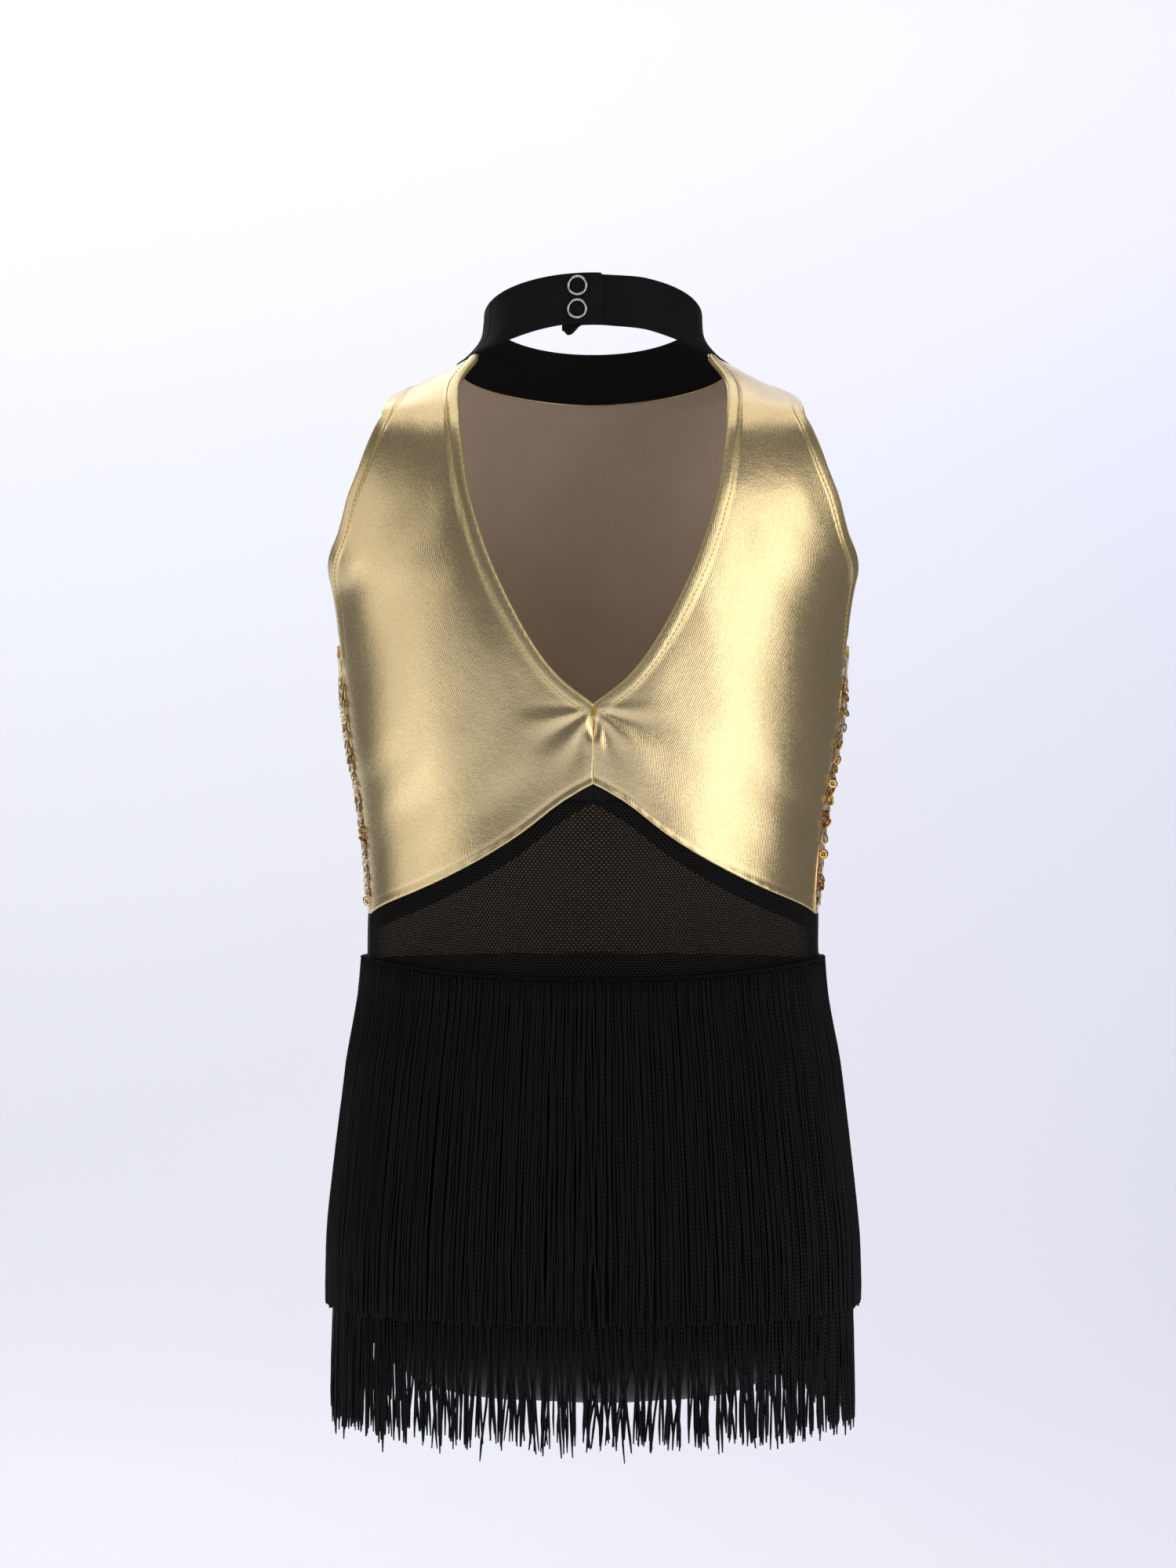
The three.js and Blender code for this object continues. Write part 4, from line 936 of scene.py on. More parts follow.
def back_relief(points, side):
    """How far the worn gold cloth stands off the plain form, in millimetres, and how worn it is."""
    x, z = np.abs(points[..., 0]), points[..., 2]
    edge = opening_edge()
    arm = armhole(1, SIDE_SEAM_ANGLE)
    if side < 0:
        edge, arm = edge * np.array([-1, 1, 1]), arm * np.array([-1, 1, 1])
    hem, sleeve = gap_to(points, edge), gap_to(points, arm)
    free = np.minimum(hem, sleeve)
    relief = 0.45 * (1 - smooth(free, 5.0, 6.2)) - 0.3 * bell(free - STITCH_ROW, 0.55) - 0.15 * bell(free, 0.7)
    down = V_FOOT - 4 - z
    r = np.hypot(x, np.maximum(down, -8))
    fan = np.arctan2(x, down + 2)
    folds = np.cos(fan * (9 if side > 0 else 8) + (0.4 if side > 0 else -0.5))
    relief += 0.4 * folds * smooth(r, 2, 9) * (1 - smooth(r, 16, 42)) * smooth(down, -8, 3)
    pleat = bell(x - 0.4, 1.3) * smooth(down, 0, 2.5) * (1 - smooth(down, 7, 13))
    relief += -1.3 * pleat + 0.55 * bell(x - 3.0, 1.6) * smooth(down, 0, 3) * (1 - smooth(down, 10, 20))
    s = 1 if side > 0 else 1.7
    calm = smooth(free, 6, 20)
    relief += calm * (0.28 * np.sin(x / 13 + z / 31 * s + side) + 0.14 * np.sin(x / 7.5 - z / 23 + 2 * side))
    relief += calm * 0.10 * np.sin((x * 0.8 + z * 0.6) / 4.6 + np.sin(z / 17) * 1.4 + side)
    chevron = z - chevron_height(np.degrees(settle(points)[..., 0]))
    bumps = np.abs(np.sin(np.pi * x / 1.5))
    relief += (0.30 * bumps + 0.1) * (1 - smooth(chevron, 0.9, 2.6)) - 0.25 * bell(chevron - 3.4, 0.9)
    side_gap = np.abs(np.degrees(np.abs(settle(points)[..., 0])) - SIDE_SEAM_ANGLE) * 1.7
    relief -= 0.35 * bell(side_gap - 1.2, 1.3) * (z < -140)
    worn = np.clip(bell(free, 0.8) + 0.5 * bell(free - STITCH_ROW, 0.7) + 0.35 * bell(chevron, 1.4), 0, 1)
    return relief, worn, free


def gold_back(label, side):
    grid = back_panel_grid(210, 92)
    if side < 0:
        grid = mirror(grid)
    relief, worn, free = back_relief(on_form(grid), side)
    hem = 1 - smooth(free, 5.2, 6.3)
    outer = lifted(grid, SHELL + relief)
    inner = lifted(grid, np.minimum(relief, 0.3) * (1 - hem) - 0.75 * hem)
    points, quads, uv = thick(outer, inner, False, 0.42, 3)
    n = worn.size
    layer = np.zeros(len(points))
    layer[:n] = layer[n:2 * n] = worn.ravel()
    layer[2 * n:] = 0.8
    made = build(f"gold_back_{label}", points, quads, uv, {"worn": layer})
    dress(made, GOLD, "garment", [f"back_panel_{label}"])
    return made, outer


def edge_walk(curve, distance, count, lift):
    """Points and normals on the form at a distance aside of a curve."""
    places = settle(walk(curve, np.linspace(0.004, 0.996, count)))
    points = on_form(places)
    along = unit(np.gradient(points, axis=0))
    aside = np.cross(outward(places), along)
    places = nearest(places, points + aside * distance)
    return lifted(places, lift), outward(places)


def facing_strip(name, places, near, far, top, closed, node, look=GOLD, slot="gold_foil_knit"):
    """A turned-in hem inside the cloth along places on an edge."""
    points = on_form(places)
    along = np.roll(points, -1, 0) - np.roll(points, 1, 0) if closed else np.gradient(points, axis=0)
    aside = np.cross(outward(places), unit(along))
    grid = np.stack([nearest(places, points + aside * d) for d in np.linspace(near, far, 9)])
    ripple = 0.12 * np.sin(np.arange(len(places)) * 0.9) * np.linspace(0, 1, 9)[:, None]
    outer, inner = lifted(grid, top), lifted(grid, top - FACING + ripple * 0.5)
    mesh_points, quads, uv = thick(outer, inner, closed, 0.4, 1)
    made = build(name, mesh_points, quads, uv, {"worn": np.zeros(len(mesh_points))})
    dress(made, look, "garment", [node])
    return made, outer


for label, side in (("left", 1), ("right", -1)):
    flip = np.array([side, 1, 1])
    made, outer = gold_back(label, side)
    edge = opening_edge() * flip
    arm = armhole(1, SIDE_SEAM_ANGLE) * flip
    rows = []
    line, up = edge_walk(edge, STITCH_ROW * side, 240, SHELL + 0.24)
    rows.append(stitches(f"opening_stitches_{label}", line, up, GOLD_THREAD, 2.5, 1.95, 0.19, 0.12))
    line, up = edge_walk(arm, -STITCH_ROW * side, 160, SHELL + 0.24)
    rows.append(stitches(f"armhole_stitches_back_{label}", line, up, GOLD_THREAD, 2.5, 1.95, 0.19, 0.12))
    declare(outer, False, rows)

    places = settle(walk(edge, np.linspace(0.006, 0.994, 220)))
    reach = 0.5 * side, FACING_WIDTH * side
    node = f"back_opening_facing_{label}"
    strip, outer = facing_strip(f"opening_hem_{label}", places, *reach, -LAYER_GAP, False, node)
    inside, up = edge_walk(edge, STITCH_ROW * side, 240, -LAYER_GAP - FACING - 0.05)
    thread_row = stitches(f"opening_hem_stitches_{label}", inside, -up, GOLD_THREAD, 2.5, 1.6, 0.17, 0.1)
    declare(outer, False, [thread_row])

    loop = armhole_loop(300)
    if side < 0:
        loop = mirror(loop)
    reach = -0.5 * side, -FACING_WIDTH * side
    strip, outer = facing_strip(f"armhole_hem_{label}", loop, *reach, -CURVE_GAP, True, f"armhole_facing_{label}")
    declare(outer, True)

# ---------------------------------------------------------------- bar tack
def bar_tack():
    """Satin-stitched bar with a few loose loops, at the foot of the open back."""
    height, width, depth = 4.5, 2.6, 0.8
    seat = place(0, V_FOOT - height / 2 - 1)
    centre, up = lifted(seat, SHELL + 0.2), outward(seat)
    aside = np.array([1.0, 0, 0])
    above = np.cross(up, aside)
    t = np.linspace(0, 1, 12)
    paths = []
    for k in range(22):
        h = (k / 21 - 0.5) * height + rng.normal(0, 0.12)
        lean = rng.normal(0, 0.35)
        w = width / 2 * rng.uniform(0.85, 1.12)
        x = w * np.cos(np.pi * t)
        lift = (depth + rng.uniform(-0.1, 0.2)) * np.sin(np.pi * t) ** 0.6 - 0.25
        y = h + lean * (t - 0.5) + 0.1 * np.sin(7 * t + k)
        paths.append(centre + x[:, None] * aside + y[:, None] * above + lift[:, None] * up)
    for k in range(9):
        angle = rng.uniform(0.5, 2.6)
        h, w = rng.uniform(-1.9, 1.9), rng.uniform(0.8, 1.6)
        x = w * np.cos(np.pi * t + angle)
        y = h + w * 0.9 * np.sin(np.pi * t * 1.2 + angle)
        lift = depth + 0.15 + 0.35 * np.sin(np.pi * t) + rng.uniform(-0.1, 0.25)
        paths.append(centre + x[:, None] * aside + y[:, None] * above + lift[:, None] * up)
    points, faces, uv = tube(np.array(paths), 0.17, 7)
    made = build("bar_tack_threads", points, faces, uv)
    dress(made, GOLD_THREAD, "garment", ["bar_tack"])


bar_tack()

# ---------------------------------------------------------------- gold front, sequins and lining
def front_piece():
    grid = panel(*front_edges(lambda a: front_foot(a) + HALF_GAP, FRONT_SEAM), 130, 170)
    points = on_form(grid)
    arms = [armhole(-1, SIDE_SEAM_ANGLE) * np.array([s, 1, 1]) for s in (1, -1)]
    free = np.minimum(gap_to(points, arms[0]), gap_to(points, arms[1]))
    hem = 1 - smooth(free, 5.2, 6.3)
    relief = 0.4 * hem - 0.3 * bell(free - STITCH_ROW, 0.55)
    relief += 0.25 * np.sin(points[..., 0] / 11 + points[..., 2] / 19) * (1 - hem)
    outer = lifted(grid, SHELL + relief)
    inner = lifted(grid, -0.2 - 0.9 * hem)
    mesh_points, quads, uv = thick(outer, inner, False, 0.42, 3)
    layer = np.zeros(len(mesh_points))
    layer[:free.size] = bell(free, 0.8).ravel()
    made = build("gold_front", mesh_points, quads, uv, {"worn": layer})
    dress(made, GOLD, "garment", ["front_bodice"])
    rows = []
    for label, s, arm in (("left", 1, arms[0]), ("right", -1, arms[1])):
        line, up = edge_walk(arm, STITCH_ROW * s, 200, SHELL + 0.24)
        rows.append(stitches(f"armhole_stitches_front_{label}", line, up, GOLD_THREAD, 2.5, 1.95, 0.19, 0.12))
    return made, outer, rows


def sequin_shape(segments=12):
    """A round flat sequin with a centre hole and a turned-up rim."""
    turn = 2 * np.pi * np.arange(segments) / segments
    circle = np.stack([np.cos(turn), np.sin(turn), 0 * turn], -1)
    rings = [(2.5, 0.10), (1.6, 0.09), (0.5, 0.0), (1.6, -0.03)]
    points = np.vstack([circle * r + np.array([0, 0, h]) for r, h in rings])
    index = np.arange(len(rings) * segments).reshape(len(rings), segments)
    closed = np.vstack([index, index[:1]])
    a, b = closed[:-1], np.roll(closed[:-1], -1, 1)
    c, d = np.roll(closed[1:], -1, 1), closed[1:]
    return points, np.stack([a, b, c, d], -1).reshape(-1, 4)


def sequin_sites():
    """Places of the sequins in staggered rows round the front, clear of the hems."""
    arms = np.vstack([armhole(-1, SIDE_SEAM_ANGLE) * np.array([s, 1, 1]) for s in (1, -1)])
    found = []
    row = 0
    z = -16.0
    while z > -268:
        degrees = np.linspace(SIDE_SEAM_ANGLE, 360 - SIDE_SEAM_ANGLE, 2000)
        line = on_form(place(degrees, z))
        at = lengths(line)
        steps = np.arange(0.8 + (row % 2) * 2.1, at[-1] - 0.8, 4.2)
        found.append(np.stack([np.interp(steps, at, degrees), np.full(len(steps), z)], -1))
        z -= 3.7
        row += 1
    sites = np.vstack(found)
    sites += rng.normal(0, 0.22, sites.shape) * np.array([0.3, 1.0])
    places = place(sites[:, 0], sites[:, 1])
    points = on_form(places)
    ridges = np.vstack([on_form(shoulder_seam(-HALF_GAP)) * np.array([s, 1, 1]) for s in (1, -1)])
    keep = (gap_to(points, arms) > 7.0) & (gap_to(points, ridges) > 11.0)
    keep &= sites[:, 1] > front_foot(sites[:, 0]) + 2.6
    keep &= sites[:, 1] < neckline(sites[:, 0]) - 3.0
    z = points[:, 2]
    share = np.abs(points[:, 0])
    inside = np.interp(z, [-150, -146, -120, -97, -70, -45, -30], [200, 119, 108, 97, 90, 88, 78])
    keep &= (share < inside - 6) | (z < UNDERARM)
    return places[keep], sites[keep]


def sequins():
    places, sites = sequin_sites()
    up = outward(places)
    across = unit(on_form(moved(places, 0.01, 0)) - on_form(moved(places, -0.01, 0)))
    down = np.cross(up, across)
    n = len(places)
    from_seam = np.minimum(sites[:, 0] - SIDE_SEAM_ANGLE, 360 - SIDE_SEAM_ANGLE - sites[:, 0])
    right = sites[:, 0] > 180
    lean_down = rng.normal(0.20, 0.09, n)
    lean_side = rng.normal(0, 0.10, n)
    at_edge = from_seam < 3.2
    ruffled = at_edge & (np.where(right, 0.75, 0.25) > rng.random(n))
    lean_side = np.where(ruffled, rng.uniform(-1.15, 1.15, n), lean_side)
    lean_down = np.where(ruffled, rng.normal(0.1, 0.4, n), lean_down)
    tip = across * np.tan(np.clip(lean_side, -1.2, 1.2))[:, None]
    normal = unit(up - down * np.tan(lean_down)[:, None] + tip)
    first = unit(across - normal * (across * normal).sum(-1, keepdims=True))
    second = np.cross(normal, first)
    lift = SHELL + 0.75 + rng.uniform(-0.1, 0.25, n) + np.where(ruffled, np.where(right, 0.9, 0.3), 0)
    centres = lifted(places, lift)
    points, quads = sequin_shape()
    axes = np.stack([first, second, normal], 1)
    tone = np.clip(rng.beta(2.4, 1.7, n), 0, 1)
    tone[ruffled] = rng.uniform(0, 1, ruffled.sum())
    made = []
    for label, chosen in (("left", ~right), ("right", right)):
        placed, faces = scatter(points, [quads], centres[chosen], axes[chosen])
        layer = np.repeat(tone[chosen], len(points))
        piece = build(f"sequins_{label}", placed, faces, None, {"tone": layer}, flip=False)
        made.append(dress(piece, FILM, "garment", ["front_sequins"]))
    # the thread that holds each sequin crosses from its hole to its rim
    t = np.linspace(-1, 1, 5)
    along, above = (t * 1.3)[None, :, None], (0.22 - 0.25 * t ** 4)[None, :, None]
    line = centres[:, None] + first[:, None] * along + normal[:, None] * above
    mesh_points, faces, uv = tube(line, 0.1, 4)
    holder = build("sequin_threads", mesh_points, faces, uv)
    made.append(dress(holder, GOLD_THREAD, "garment"))
    return made


made, outer, rows = front_piece()
declare(outer, False, [*rows, *sequins()])

lining = panel(*front_edges(lambda a: waist_seam(a) + HALF_GAP, 90), 90, 120)
lining_top = -CURVE_GAP - FACING - LAYER_GAP
at = on_form(lining)
wave_mm = 0.35 * np.sin(at[..., 0] / 9 + at[..., 2] / 27) + 0.25 * np.sin(at[..., 2] / 8 - at[..., 0] / 21)
neck_edge = on_form(ring_places(91.5, 268.5, neckline, 60))
sewn = 1 - smooth(gap_to(at, neck_edge), 0.5, 7)
lining_lift = (lining_top + wave_mm - 0.3) * (1 - sewn) - 0.35 * sewn
sheet("nude_front_lining", lining, lining_lift - LINING, lining_lift, NUDE, ["front_lining"])

# ---------------------------------------------------------------- waist
NET_MIDDLE = 0.7  # lift of the middle of the net's threads


def power_net(low, high, start, end):
    """Knitted net with staggered diamond holes: round threads about a grid of cells."""
    pitch, step = 1.5, 1.22
    middle = place(np.linspace(start, end, 400), np.full(400, -262.0))
    arc = lengths(on_form(middle))[-1]
    columns = int(round(arc / pitch))
    rows = int(round(82 / step))
    # each cell has six corners, shared with its neighbours: u is in half columns, v in rows
    half = np.arange(2 * columns + 1)
    degrees = start + (end - start) * half / (2 * columns)
    bottom, top = low(degrees), high(degrees)
    # rows hang from the waist seam upwards; those above the upper edge are left out
    heights = bottom[None] + (np.arange(rows + 1) * step)[:, None]
    over = heights > top[None] - 0.1
    squeezed = np.minimum(heights, top[None])
    grid = place(np.broadcast_to(degrees, heights.shape), squeezed)
    face, back = lifted(grid, NET_MIDDLE + 0.25), lifted(grid, NET_MIDDLE - 0.25)
    level = lifted(grid, NET_MIDDLE)
    index = np.arange(heights.size).reshape(heights.shape)
    n = heights.size
    cells = []
    for r in range(rows):
        first = np.arange(r % 2, 2 * columns - 1, 2)
        corners = np.stack([index[r, first], index[r, first + 1], index[r, first + 2],
                            index[r + 1, first + 2], index[r + 1, first + 1], index[r + 1, first]], -1)
        cells.append(corners[~(over[r, first] | over[r, first + 1] | over[r, first + 2])])
    cells = np.vstack(cells)
    flat = level.reshape(-1, 3)
    centre = flat[cells].mean(1)
    open_share = np.array([0.46, 0.56, 0.46, 0.46, 0.56, 0.46])[None, :, None]
    rim = centre[:, None] + (flat[cells] - centre[:, None]) * open_share
    base = 2 * n
    holes = base + np.arange(len(cells) * 6).reshape(-1, 6)
    following, next_hole = np.roll(cells, -1, 1), np.roll(holes, -1, 1)
    front = np.stack([cells, following, next_hole, holes], -1).reshape(-1, 4)
    rear = np.stack([holes, next_hole, following + n, cells + n], -1).reshape(-1, 4)
    points = np.vstack([face.reshape(-1, 3), back.reshape(-1, 3), rim.reshape(-1, 3)])
    uv = unwrapped(face).reshape(-1, 2)
    uv = np.vstack([uv, uv, uv[cells].reshape(-1, 2)])
    # close the outer edges between face and back
    sides = np.stack([cells, following], -1).reshape(-1, 2)
    key = np.sort(sides, 1)
    _, first_at, counts = np.unique(key, axis=0, return_index=True, return_counts=True)
    rims = sides[first_at[counts == 1]]
    walls = np.stack([rims[:, 1], rims[:, 0], rims[:, 0] + n, rims[:, 1] + n], -1)
    quads = np.vstack([front, rear, walls])
    used = np.unique(quads)
    remap = np.full(len(points), -1)
    remap[used] = np.arange(len(used))
    return points[used], remap[quads], uv[used]


def above_waist(degrees):
    return waist_seam(degrees) + HALF_GAP


def below_chevron(degrees):
    return chevron_height(degrees) - HALF_GAP


def below_tape(degrees):
    return chevron_height(degrees) - SEAM_GAP


net = build("power_mesh_back", *power_net(above_waist, below_chevron, -BACK_SEAM, BACK_SEAM))
dress(net, NET, "garment", ["waist_mesh_back"])
size, area = flat_size(lifted(band(-BACK_SEAM, BACK_SEAM, above_waist, below_chevron, 20, 80), NET_MIDDLE))

for label, side in (("left", 1), ("right", -1)):
    tape = band(0.03, BACK_SEAM, lambda a: below_tape(a) - SEAM_TAPE_WIDTH, below_tape, 10, 130)
    tape = tape if side > 0 else mirror(tape)
    ripple = 0.2 * np.sin(np.arange(131) * 0.8)[None] * np.linspace(1, 0, 11)[:, None] ** 2
    sheet(f"chevron_tape_{label}", tape, -LAYER_GAP - FACING + ripple, -0.1 + ripple, BLACK,
          [f"chevron_seam_tape_{label}"])

front_waist = band(FRONT_SEAM, 360 - FRONT_SEAM, above_waist, lambda a: front_foot(a) - HALF_GAP, 30, 220)
at = on_form(front_waist)
relief = SHELL + 0.2 * np.sin(at[..., 0] / 8 + at[..., 2] / 5)
sheet("front_waist_cloth", front_waist, -0.1, relief, BLACK, ["front_waist_panel"], rings=2)

label_band = band(60, 72, lambda a: -270 + 0 * a, lambda a: -244 + 0 * a, 26, 16)
curl = 0.35 * smooth(np.linspace(1, 0, 27)[:, None], 0.6, 1.0) * np.ones((1, 17))
under, over = (-FACING - LAYER_GAP - lift - curl for lift in (0.95, 0.5))
sheet("care_label_satin", label_band, under, over, SATIN, ["care_label"])

# ---------------------------------------------------------------- briefs
for label, facing in (("back", 1), ("front", -1)):
    whole = briefs_grid(facing, 110, 130)
    for name, side, grid in (("left", 1, whole[:, :66]), ("right", -1, whole[:, 65:])):
        at = on_form(grid)
        curve = on_form(walk(leg_edge(facing, 90), np.linspace(0, 1, 300))) * np.array([side, 1, 1])
        edge, centre = gap_to(at, curve), np.abs(at[..., 0])
        relief = 0.25 * (1 - smooth(edge, 6.2, 7.4)) - 0.25 * bell(edge - 6.0, 0.5)
        calm = smooth(edge, 6, 16) * smooth(centre, 3, 12)
        relief += 0.3 * np.sin(at[..., 0] / 10 + at[..., 2] / 14) * calm
        relief += 0.12 * bell(centre - 2.0, 1.0) - 0.5 * bell(centre, 0.7)
        outer, inner = lifted(grid, SHELL + relief), lifted(grid, np.minimum(relief, 0) * 0.5)
        points, quads, uv = thick(outer, inner, False, 0.4, 2)
        made = build(f"briefs_{label}_{name}_cloth", points, quads, uv)
        dress(made, BRIEFS, "garment", [f"briefs_{label}_{name}"])
        along = edge_walk(curve, 6.0 * side * facing, 160, SHELL + 0.1)
        row = f"leg_stitches_{label}_{name}"
        hem = stitches(row, *along, BLACK_THREAD, 2.6, 1.9, 0.15, 0.1, slot="black_knit")
        declare(outer, False, [hem])


def gusset(name, half_width, low, high, look, slot, node):
    x = np.linspace(half_width, -half_width, 41)[None, :]
    y = np.linspace(GUSSET_BACK - HALF_GAP, GUSSET_FRONT + HALF_GAP, 31)[:, None]
    x, y = np.broadcast_arrays(x, y)
    z = column(0, row_over(x, y)) + 0.15 * np.sin(x / 6) * np.sin(y / 5)
    outer, inner = np.stack([x, y, z + low], -1), np.stack([x, y, z + high], -1)
    points, quads, uv = thick(outer, inner, False, 0.35, 2)
    made = build(name, points, quads, uv)
    dress(made, look, "garment", [node])
    declare(outer)


gusset("gusset_cloth", GUSSET_HALF_WIDTH, -SHELL, 0, BRIEFS, "black_knit", "gusset")
lining_width = GUSSET_HALF_WIDTH - LEG_ELASTIC_WIDTH - 1
lining_lifts = LAYER_GAP, LAYER_GAP + LINING
gusset("gusset_lining_cloth", lining_width, *lining_lifts, NUDE, "nude_tricot", "gusset_lining")

for label, side in (("left", 1), ("right", -1)):
    back, front = leg_edge(1, 90), leg_edge(-1, 90)
    loop = np.vstack([walk(back, np.linspace(0, 1, 90)), walk(front, np.linspace(0, 1, 90))[::-1][1:-1]])
    if side < 0:
        loop = mirror(loop)
    name, node = f"leg_elastic_band_{label}", f"leg_elastic_{label}"
    reach = 0.3 * side, LEG_ELASTIC_WIDTH * side
    strip, outer = facing_strip(name, loop, *reach, -CURVE_GAP, True, node, BLACK, "black_knit")
    declare(outer, True)


# ---------------------------------------------------------------- skirt
def drape(z):
    z = np.asarray(z, float)
    steps = WAIST_SEAM + (z[..., None] - WAIST_SEAM) * np.linspace(0, 1, 25)
    rings = ring_at(row_at(steps))
    return [z, rings[1].max(-1), rings[2].max(-1), rings[3].max(-1), 2.2 + 0 * z]


def lower_grow(z):
    return OFF_BODY + LOWER_FLARE * (LOWER_HEADER_TOP - z) / FRINGE_LENGTH


def upper_grow(z):
    over = 1 - smooth(z, LOWER_HEADER_TOP, WAIST_SEAM - HEADER_HEIGHT)
    goal = lower_grow(np.minimum(z, LOWER_HEADER_TOP)) + FRINGE + SKIRT_CLEARANCE
    return OFF_BODY + (goal - OFF_BODY) * over + UPPER_FLARE * (WAIST_SEAM - z) / FRINGE_LENGTH


def lower_seam(degrees):
    return LOWER_HEADER_TOP + 0 * np.asarray(degrees, float)


def ring_degrees(z, grow, pitch):
    """Angles evenly spaced along the ring of a height."""
    fine = np.linspace(FIRST_DEGREE, FIRST_DEGREE + 360, 4001)
    at = lengths(on_ring(drape(np.full(len(fine), z)), np.radians(fine), grow))
    count = int(round(at[-1] / pitch))
    return np.interp((np.arange(count) + 0.5) * at[-1] / count, at, fine), count


HIP_RADIUS = 108.0  # turns a cord's sideways sway into an angle
UPPER_PITCH, LOWER_PITCH = 1.3, 1.75
SPACED_BELOW = 60  # how far under a tier's top its cords are evenly spaced


def fringe_header(name, top, grow, pitch, node, cords):
    """The sewn band at the head of a fringe: its cords lie side by side and end in small loops at the seam."""
    level = float(top(90)) - SPACED_BELOW
    degrees, count = ring_degrees(level, grow(level), pitch)
    per = 6
    fine = np.interp(np.arange(count * per) / per, np.arange(count + 1), np.append(degrees, degrees[0] + 360))
    drop = np.linspace(-1.3, HEADER_HEIGHT + 0.6, 20)[:, None]
    z = top(fine)[None] - drop
    ribs = -np.cos(2 * np.pi * np.arange(count * per) / per)[None]
    tight = bell(drop - 1.6, 0.5)
    jitter = np.repeat(rng.normal(0, 0.09, count), per)[None]
    relief = HEADER - 0.35 + 0.42 * ribs * (1 - 0.4 * tight) - 0.25 * tight + jitter
    relief = relief + 0.1 * np.sin(fine * 0.7)[None]
    ruffle = np.repeat(rng.uniform(0.1, 0.8, count), per)[None] * smooth(-drop, -0.8, 1.0)
    angle = np.radians(fine)[None] + 0 * z
    outer = on_ring(drape(z), angle, grow(z) + relief + ruffle)
    inner = on_ring(drape(z), angle, grow(z) + 0.05)
    points, quads, uv = thick(outer, inner, True, 0.35, 1)
    made = build(name, points, quads, uv)
    dress(made, CORD, "garment", [node])
    declare(outer, True, cords)


# Each layer of cords: mean distance off the ring, share of a pitch moved aside, how much shorter than the tier.
UPPER_LAYERS = [(0.55, 0.0, 0.0), (1.4, 0.5, 0.0)]
LOWER_LAYERS = [(0.6, 0.0, 2.0), (1.35, 0.5, 0.0)]


def strands(label, span, top, grow, degrees, depth, shorter):
    """Centre lines and radii of one layer of one sector's hanging cords."""
    angles = degrees[(degrees > span[0]) & (degrees <= span[1])]
    n = len(angles)
    t = np.linspace(0, 1, 21)[None]
    lower = label == "lower"
    start = top(angles)[:, None] + HEADER_HEIGHT + rng.uniform(-0.6, 0.9, (n, 1))
    uneven = rng.normal(0, 2.4 if lower else 0.7, n) + (rng.random(n) < 0.02) * rng.uniform(4, 9, n) * lower
    uneven = np.clip(uneven, -5, 9) - shorter
    end = (float(top(90)) - FRINGE_LENGTH + (1.5 if lower else 0.3) - uneven)[:, None]
    z = start + (end - start) * t
    drift = rng.normal(0, 0.35, (n, 1)) * t
    turns = t * rng.uniform(1.2, 3.0, (n, 1)) + rng.random((n, 1))
    sway = drift + 0.22 * np.sin(2 * np.pi * turns)
    if lower:
        splay = rng.normal(0, 2.3, (n, 1)) + np.where(rng.random((n, 1)) < 0.12, rng.normal(0, 4, (n, 1)), 0)
        sway = sway + splay * smooth(t, 0.62, 1.0) * t
        sway = sway + 0.6 * np.sin(2 * np.pi * (2.3 * t + rng.random((n, 1)))) * smooth(t, 0.6, 1)
    else:
        sway = sway + rng.normal(0, 0.5, (n, 1)) * smooth(t, 0.75, 1.0)
    angle = np.radians(angles)[:, None] + sway / HIP_RADIUS
    angle = np.clip(angle, *np.radians([span[0] + 0.35, span[1] - 0.35]))
    off = depth + rng.normal(0, 0.12, (n, 1)) + 0.12 * np.sin(2 * np.pi * (t * 1.7 + rng.random((n, 1))))
    if lower:
        off = off + rng.normal(0, 0.5, (n, 1)) * smooth(t, 0.6, 1)
    path = on_ring(drape(z), angle, grow(z) + np.clip(off, 0.3, 2.6))
    radius = (rng.normal(0.6, 0.05, (n, 1)) * (1 + 0.07 * np.sin(2 * np.pi * (t * 9 + rng.random((n, 1))))))
    return path, radius * (1 - 0.45 * smooth(t, 0.975, 1.0))


def tier(label, top, grow, pitch, layers):
    """All cords of one tier, cut into its sectors."""
    level = float(top(90)) - SPACED_BELOW
    made, sets = [], []
    for depth, shift, shorter in layers:
        degrees, count = ring_degrees(level, grow(level), pitch)
        degrees = degrees + shift * 360 / count + rng.normal(0, 0.10, count)
        sets.append((np.sort(FIRST_DEGREE + (degrees - FIRST_DEGREE) % 360), depth, shorter))
    for name, start, end in SECTORS:
        pairs = [strands(label, (start, end), top, grow, *layer) for layer in sets]
        path, radius = (np.vstack(part) for part in zip(*pairs))
        points, faces, uv = tube(path, radius, 6)
        node = f"{label}_fringe_{name}"
        piece = build(f"{node}_cords", points, faces, uv)
        middle = math.radians((start + end) / 2)
        head = float(np.min(top(np.array([start, end, (start + end) / 2])))) + 1.0
        at = on_ring(drape(np.array(head)), np.array(middle), grow(head))
        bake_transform(piece)
        dress(piece, CORD, None, [node])
        made.append(piece)
    return made


def upper_top(degrees):
    return waist_seam(degrees) - HEADER_HEIGHT - FRINGE_HANG_GAP


def lower_top(degrees):
    return lower_seam(degrees) - HEADER_HEIGHT - FRINGE_HANG_GAP


upper = tier("upper", upper_top, upper_grow, UPPER_PITCH, UPPER_LAYERS)
fringe_header("upper_header_cords", waist_seam, upper_grow, UPPER_PITCH, "upper_fringe_header", upper)
lower = tier("lower", lower_top, lower_grow, LOWER_PITCH, LOWER_LAYERS)
fringe_header("lower_header_cords", lower_seam, lower_grow, LOWER_PITCH, "lower_fringe_header", lower)

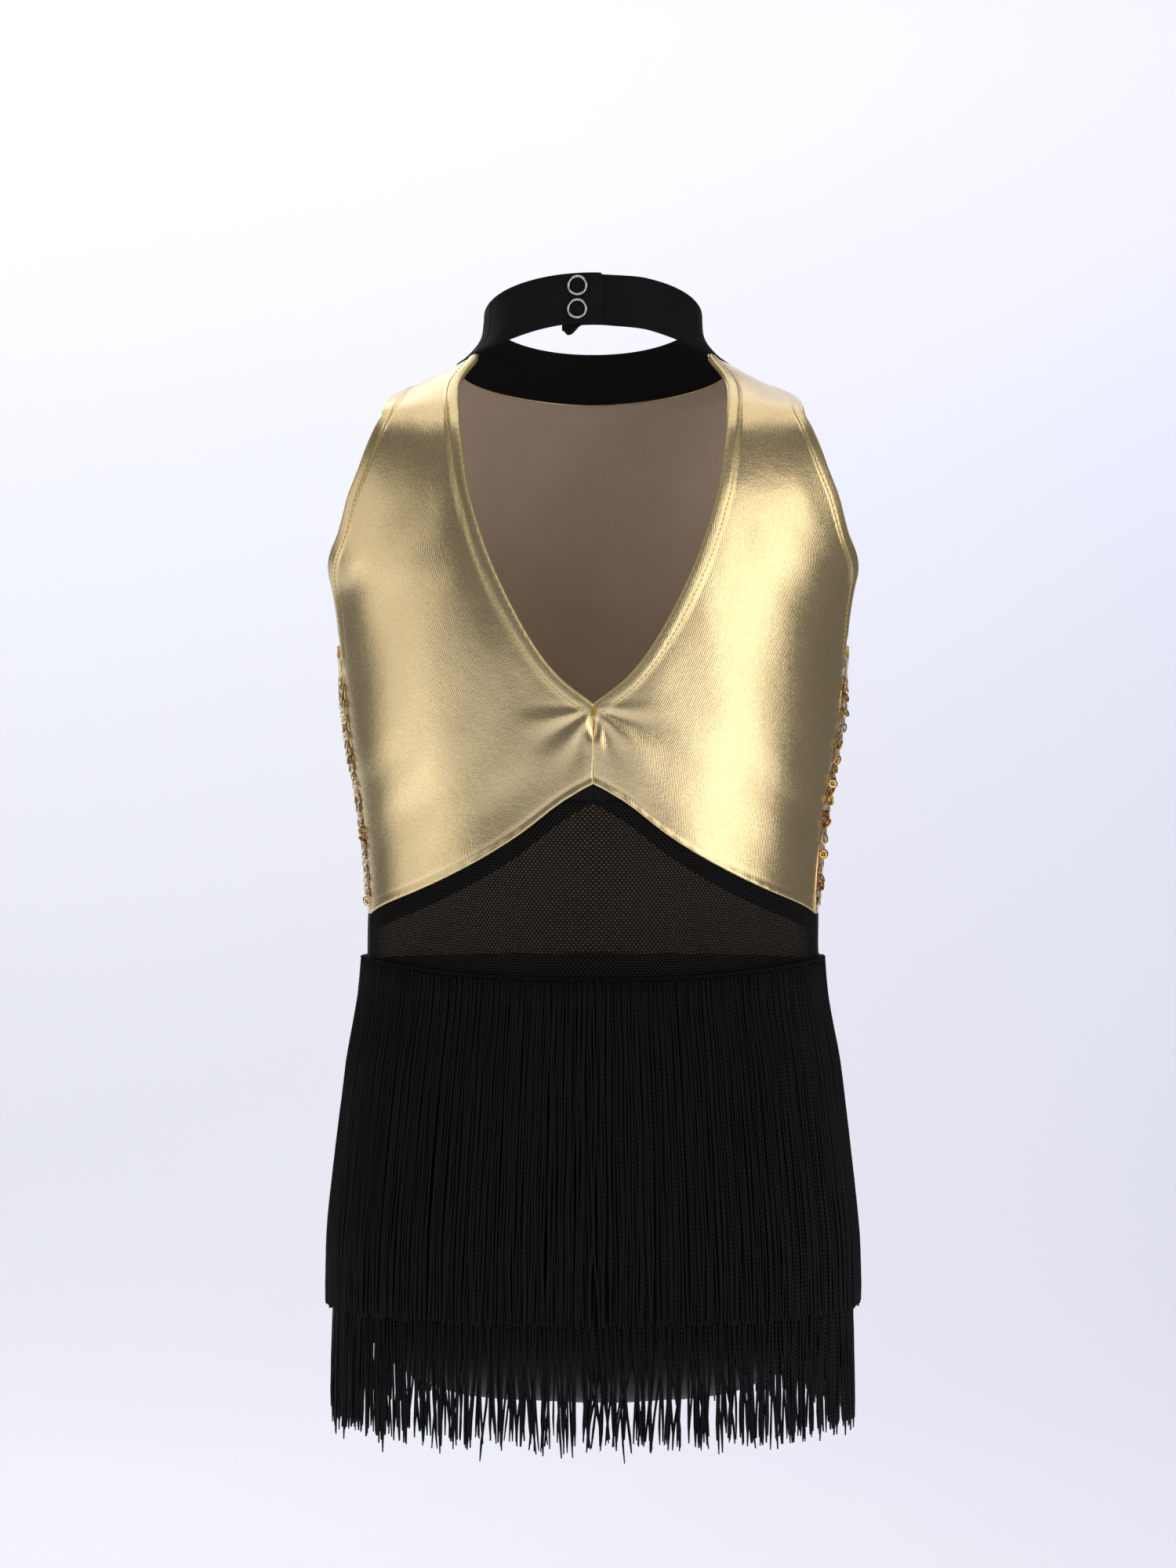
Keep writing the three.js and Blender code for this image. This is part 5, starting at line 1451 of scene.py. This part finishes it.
# ---------------------------------------------------------------- stage, light and camera
FLOOR = -800.0


def stage_look():
    """Pale card that glows with painted light: brighter towards +X and with height, least on the floor."""
    look, shader = new_look("pale_studio", (0.80, 0.81, 0.86), 0.9)
    at = coords(look)
    mottle = noise(look, at, 3, 2, 0.5)
    join(look, blend_colors(look, mottle, (0.79, 0.80, 0.85), (0.81, 0.82, 0.87)), shader, "Base Color")
    parts = add(look, "ShaderNodeSeparateXYZ", Vector=at).outputs
    share = add(look, "ShaderNodeMapRange", i0=parts[0], i1=-1.0, i2=1.0, i3=0.0, i4=1.0).outputs[0]
    # painted light: the glow's colour is brighter towards +X
    join(look, blend_colors(look, share, (0.80, 0.81, 0.97), (0.95, 0.97, 1.0)), shader, "Emission Color")
    # painted light: the glow is dimmest on the floor and grows up the backdrop
    rise = add(look, "ShaderNodeMapRange", i0=parts[2], i1=FLOOR * MM, i2=0.7, i3=0.47, i4=0.80).outputs[0]
    join(look, rise, shader, "Emission Strength")
    return look


def cyclorama():
    """Pale floor that curves up into a backdrop behind the garment."""
    back, radius = -3000.0, 1400.0
    turn = np.linspace(0, np.pi / 2, 24)
    y = np.concatenate([[3200], back + radius - radius * np.sin(turn), [back]])
    z = np.concatenate([[FLOOR], FLOOR + radius - radius * np.cos(turn), [3200]])
    x = np.linspace(-1350, 2400, 3)
    points = np.stack([np.broadcast_to(x[None], (len(y), 3)), np.broadcast_to(y[:, None], (len(y), 3)),
                       np.broadcast_to(z[:, None], (len(y), 3))], -1)
    index = np.arange(points.size // 3).reshape(points.shape[:2])
    quads = np.stack([index[:-1, :-1], index[:-1, 1:], index[1:, 1:], index[1:, :-1]], -1).reshape(-1, 4)
    made = build("studio_cyclorama", points.reshape(-1, 3), quads, flip=False)
    made.data.materials.append(stage_look())


cyclorama()


WARM = (1.0, 0.97, 0.93)


def softbox(name, place_at, target, width, height, energy):
    light = bpy.data.lights.new(name, "AREA")
    light.shape = "RECTANGLE"
    light.size, light.size_y, light.energy, light.color = width, height, energy, WARM
    made = bpy.data.objects.new(name, light)
    bpy.context.scene.collection.objects.link(made)
    made.location = place_at
    made.rotation_euler = (Vector(target) - Vector(place_at)).to_track_quat("-Z", "Y").to_euler()
    made.visible_camera = False


softbox("top_softbox", (0.0, -0.2, 1.2), (0, -0.2, 0), 1.6, 2.2, 10.0)
softbox("left_softbox", (1.30, 0.52, -0.15), (0, 0, -0.15), 1.25, 1.5, 3.9)
softbox("right_softbox", (-0.98, 1.0, -0.15), (0, 0, -0.15), 1.0, 1.5, 7.4)
softbox("front_softbox", (0.9, -1.5, 0.6), (0, 0, -0.22), 0.9, 1.2, 4.0)

# The world is seen as a pale studio, and lights the garment as a dim room.
world = bpy.data.worlds.new("studio")
bpy.context.scene.world = world
world.use_nodes = True
room = world.node_tree.nodes["Background"]
room.inputs[0].default_value = (0.97, 0.97, 1.0, 1)
room.inputs[1].default_value = 0.13
seen = world.node_tree.nodes.new("ShaderNodeBackground")
seen.inputs[0].default_value = (0.93, 0.94, 0.99, 1)
ray = world.node_tree.nodes.new("ShaderNodeLightPath")
either = world.node_tree.nodes.new("ShaderNodeMixShader")
world.node_tree.links.new(ray.outputs["Is Camera Ray"], either.inputs[0])
world.node_tree.links.new(room.outputs[0], either.inputs[1])
world.node_tree.links.new(seen.outputs[0], either.inputs[2])
world.node_tree.links.new(either.outputs[0], world.node_tree.nodes["World Output"].inputs[0])

camera = bpy.data.cameras.new("camera")
camera.lens, camera.sensor_width = 92.4, 36
camera.dof.use_dof = False
holder = bpy.data.objects.new("camera", camera)
bpy.context.scene.collection.objects.link(holder)
holder.location = (0.0024, 1.9, -0.209)
holder.rotation_euler = (math.radians(90), 0, math.radians(180))
bpy.context.scene.camera = holder
bpy.context.scene.view_settings.view_transform = "Standard"
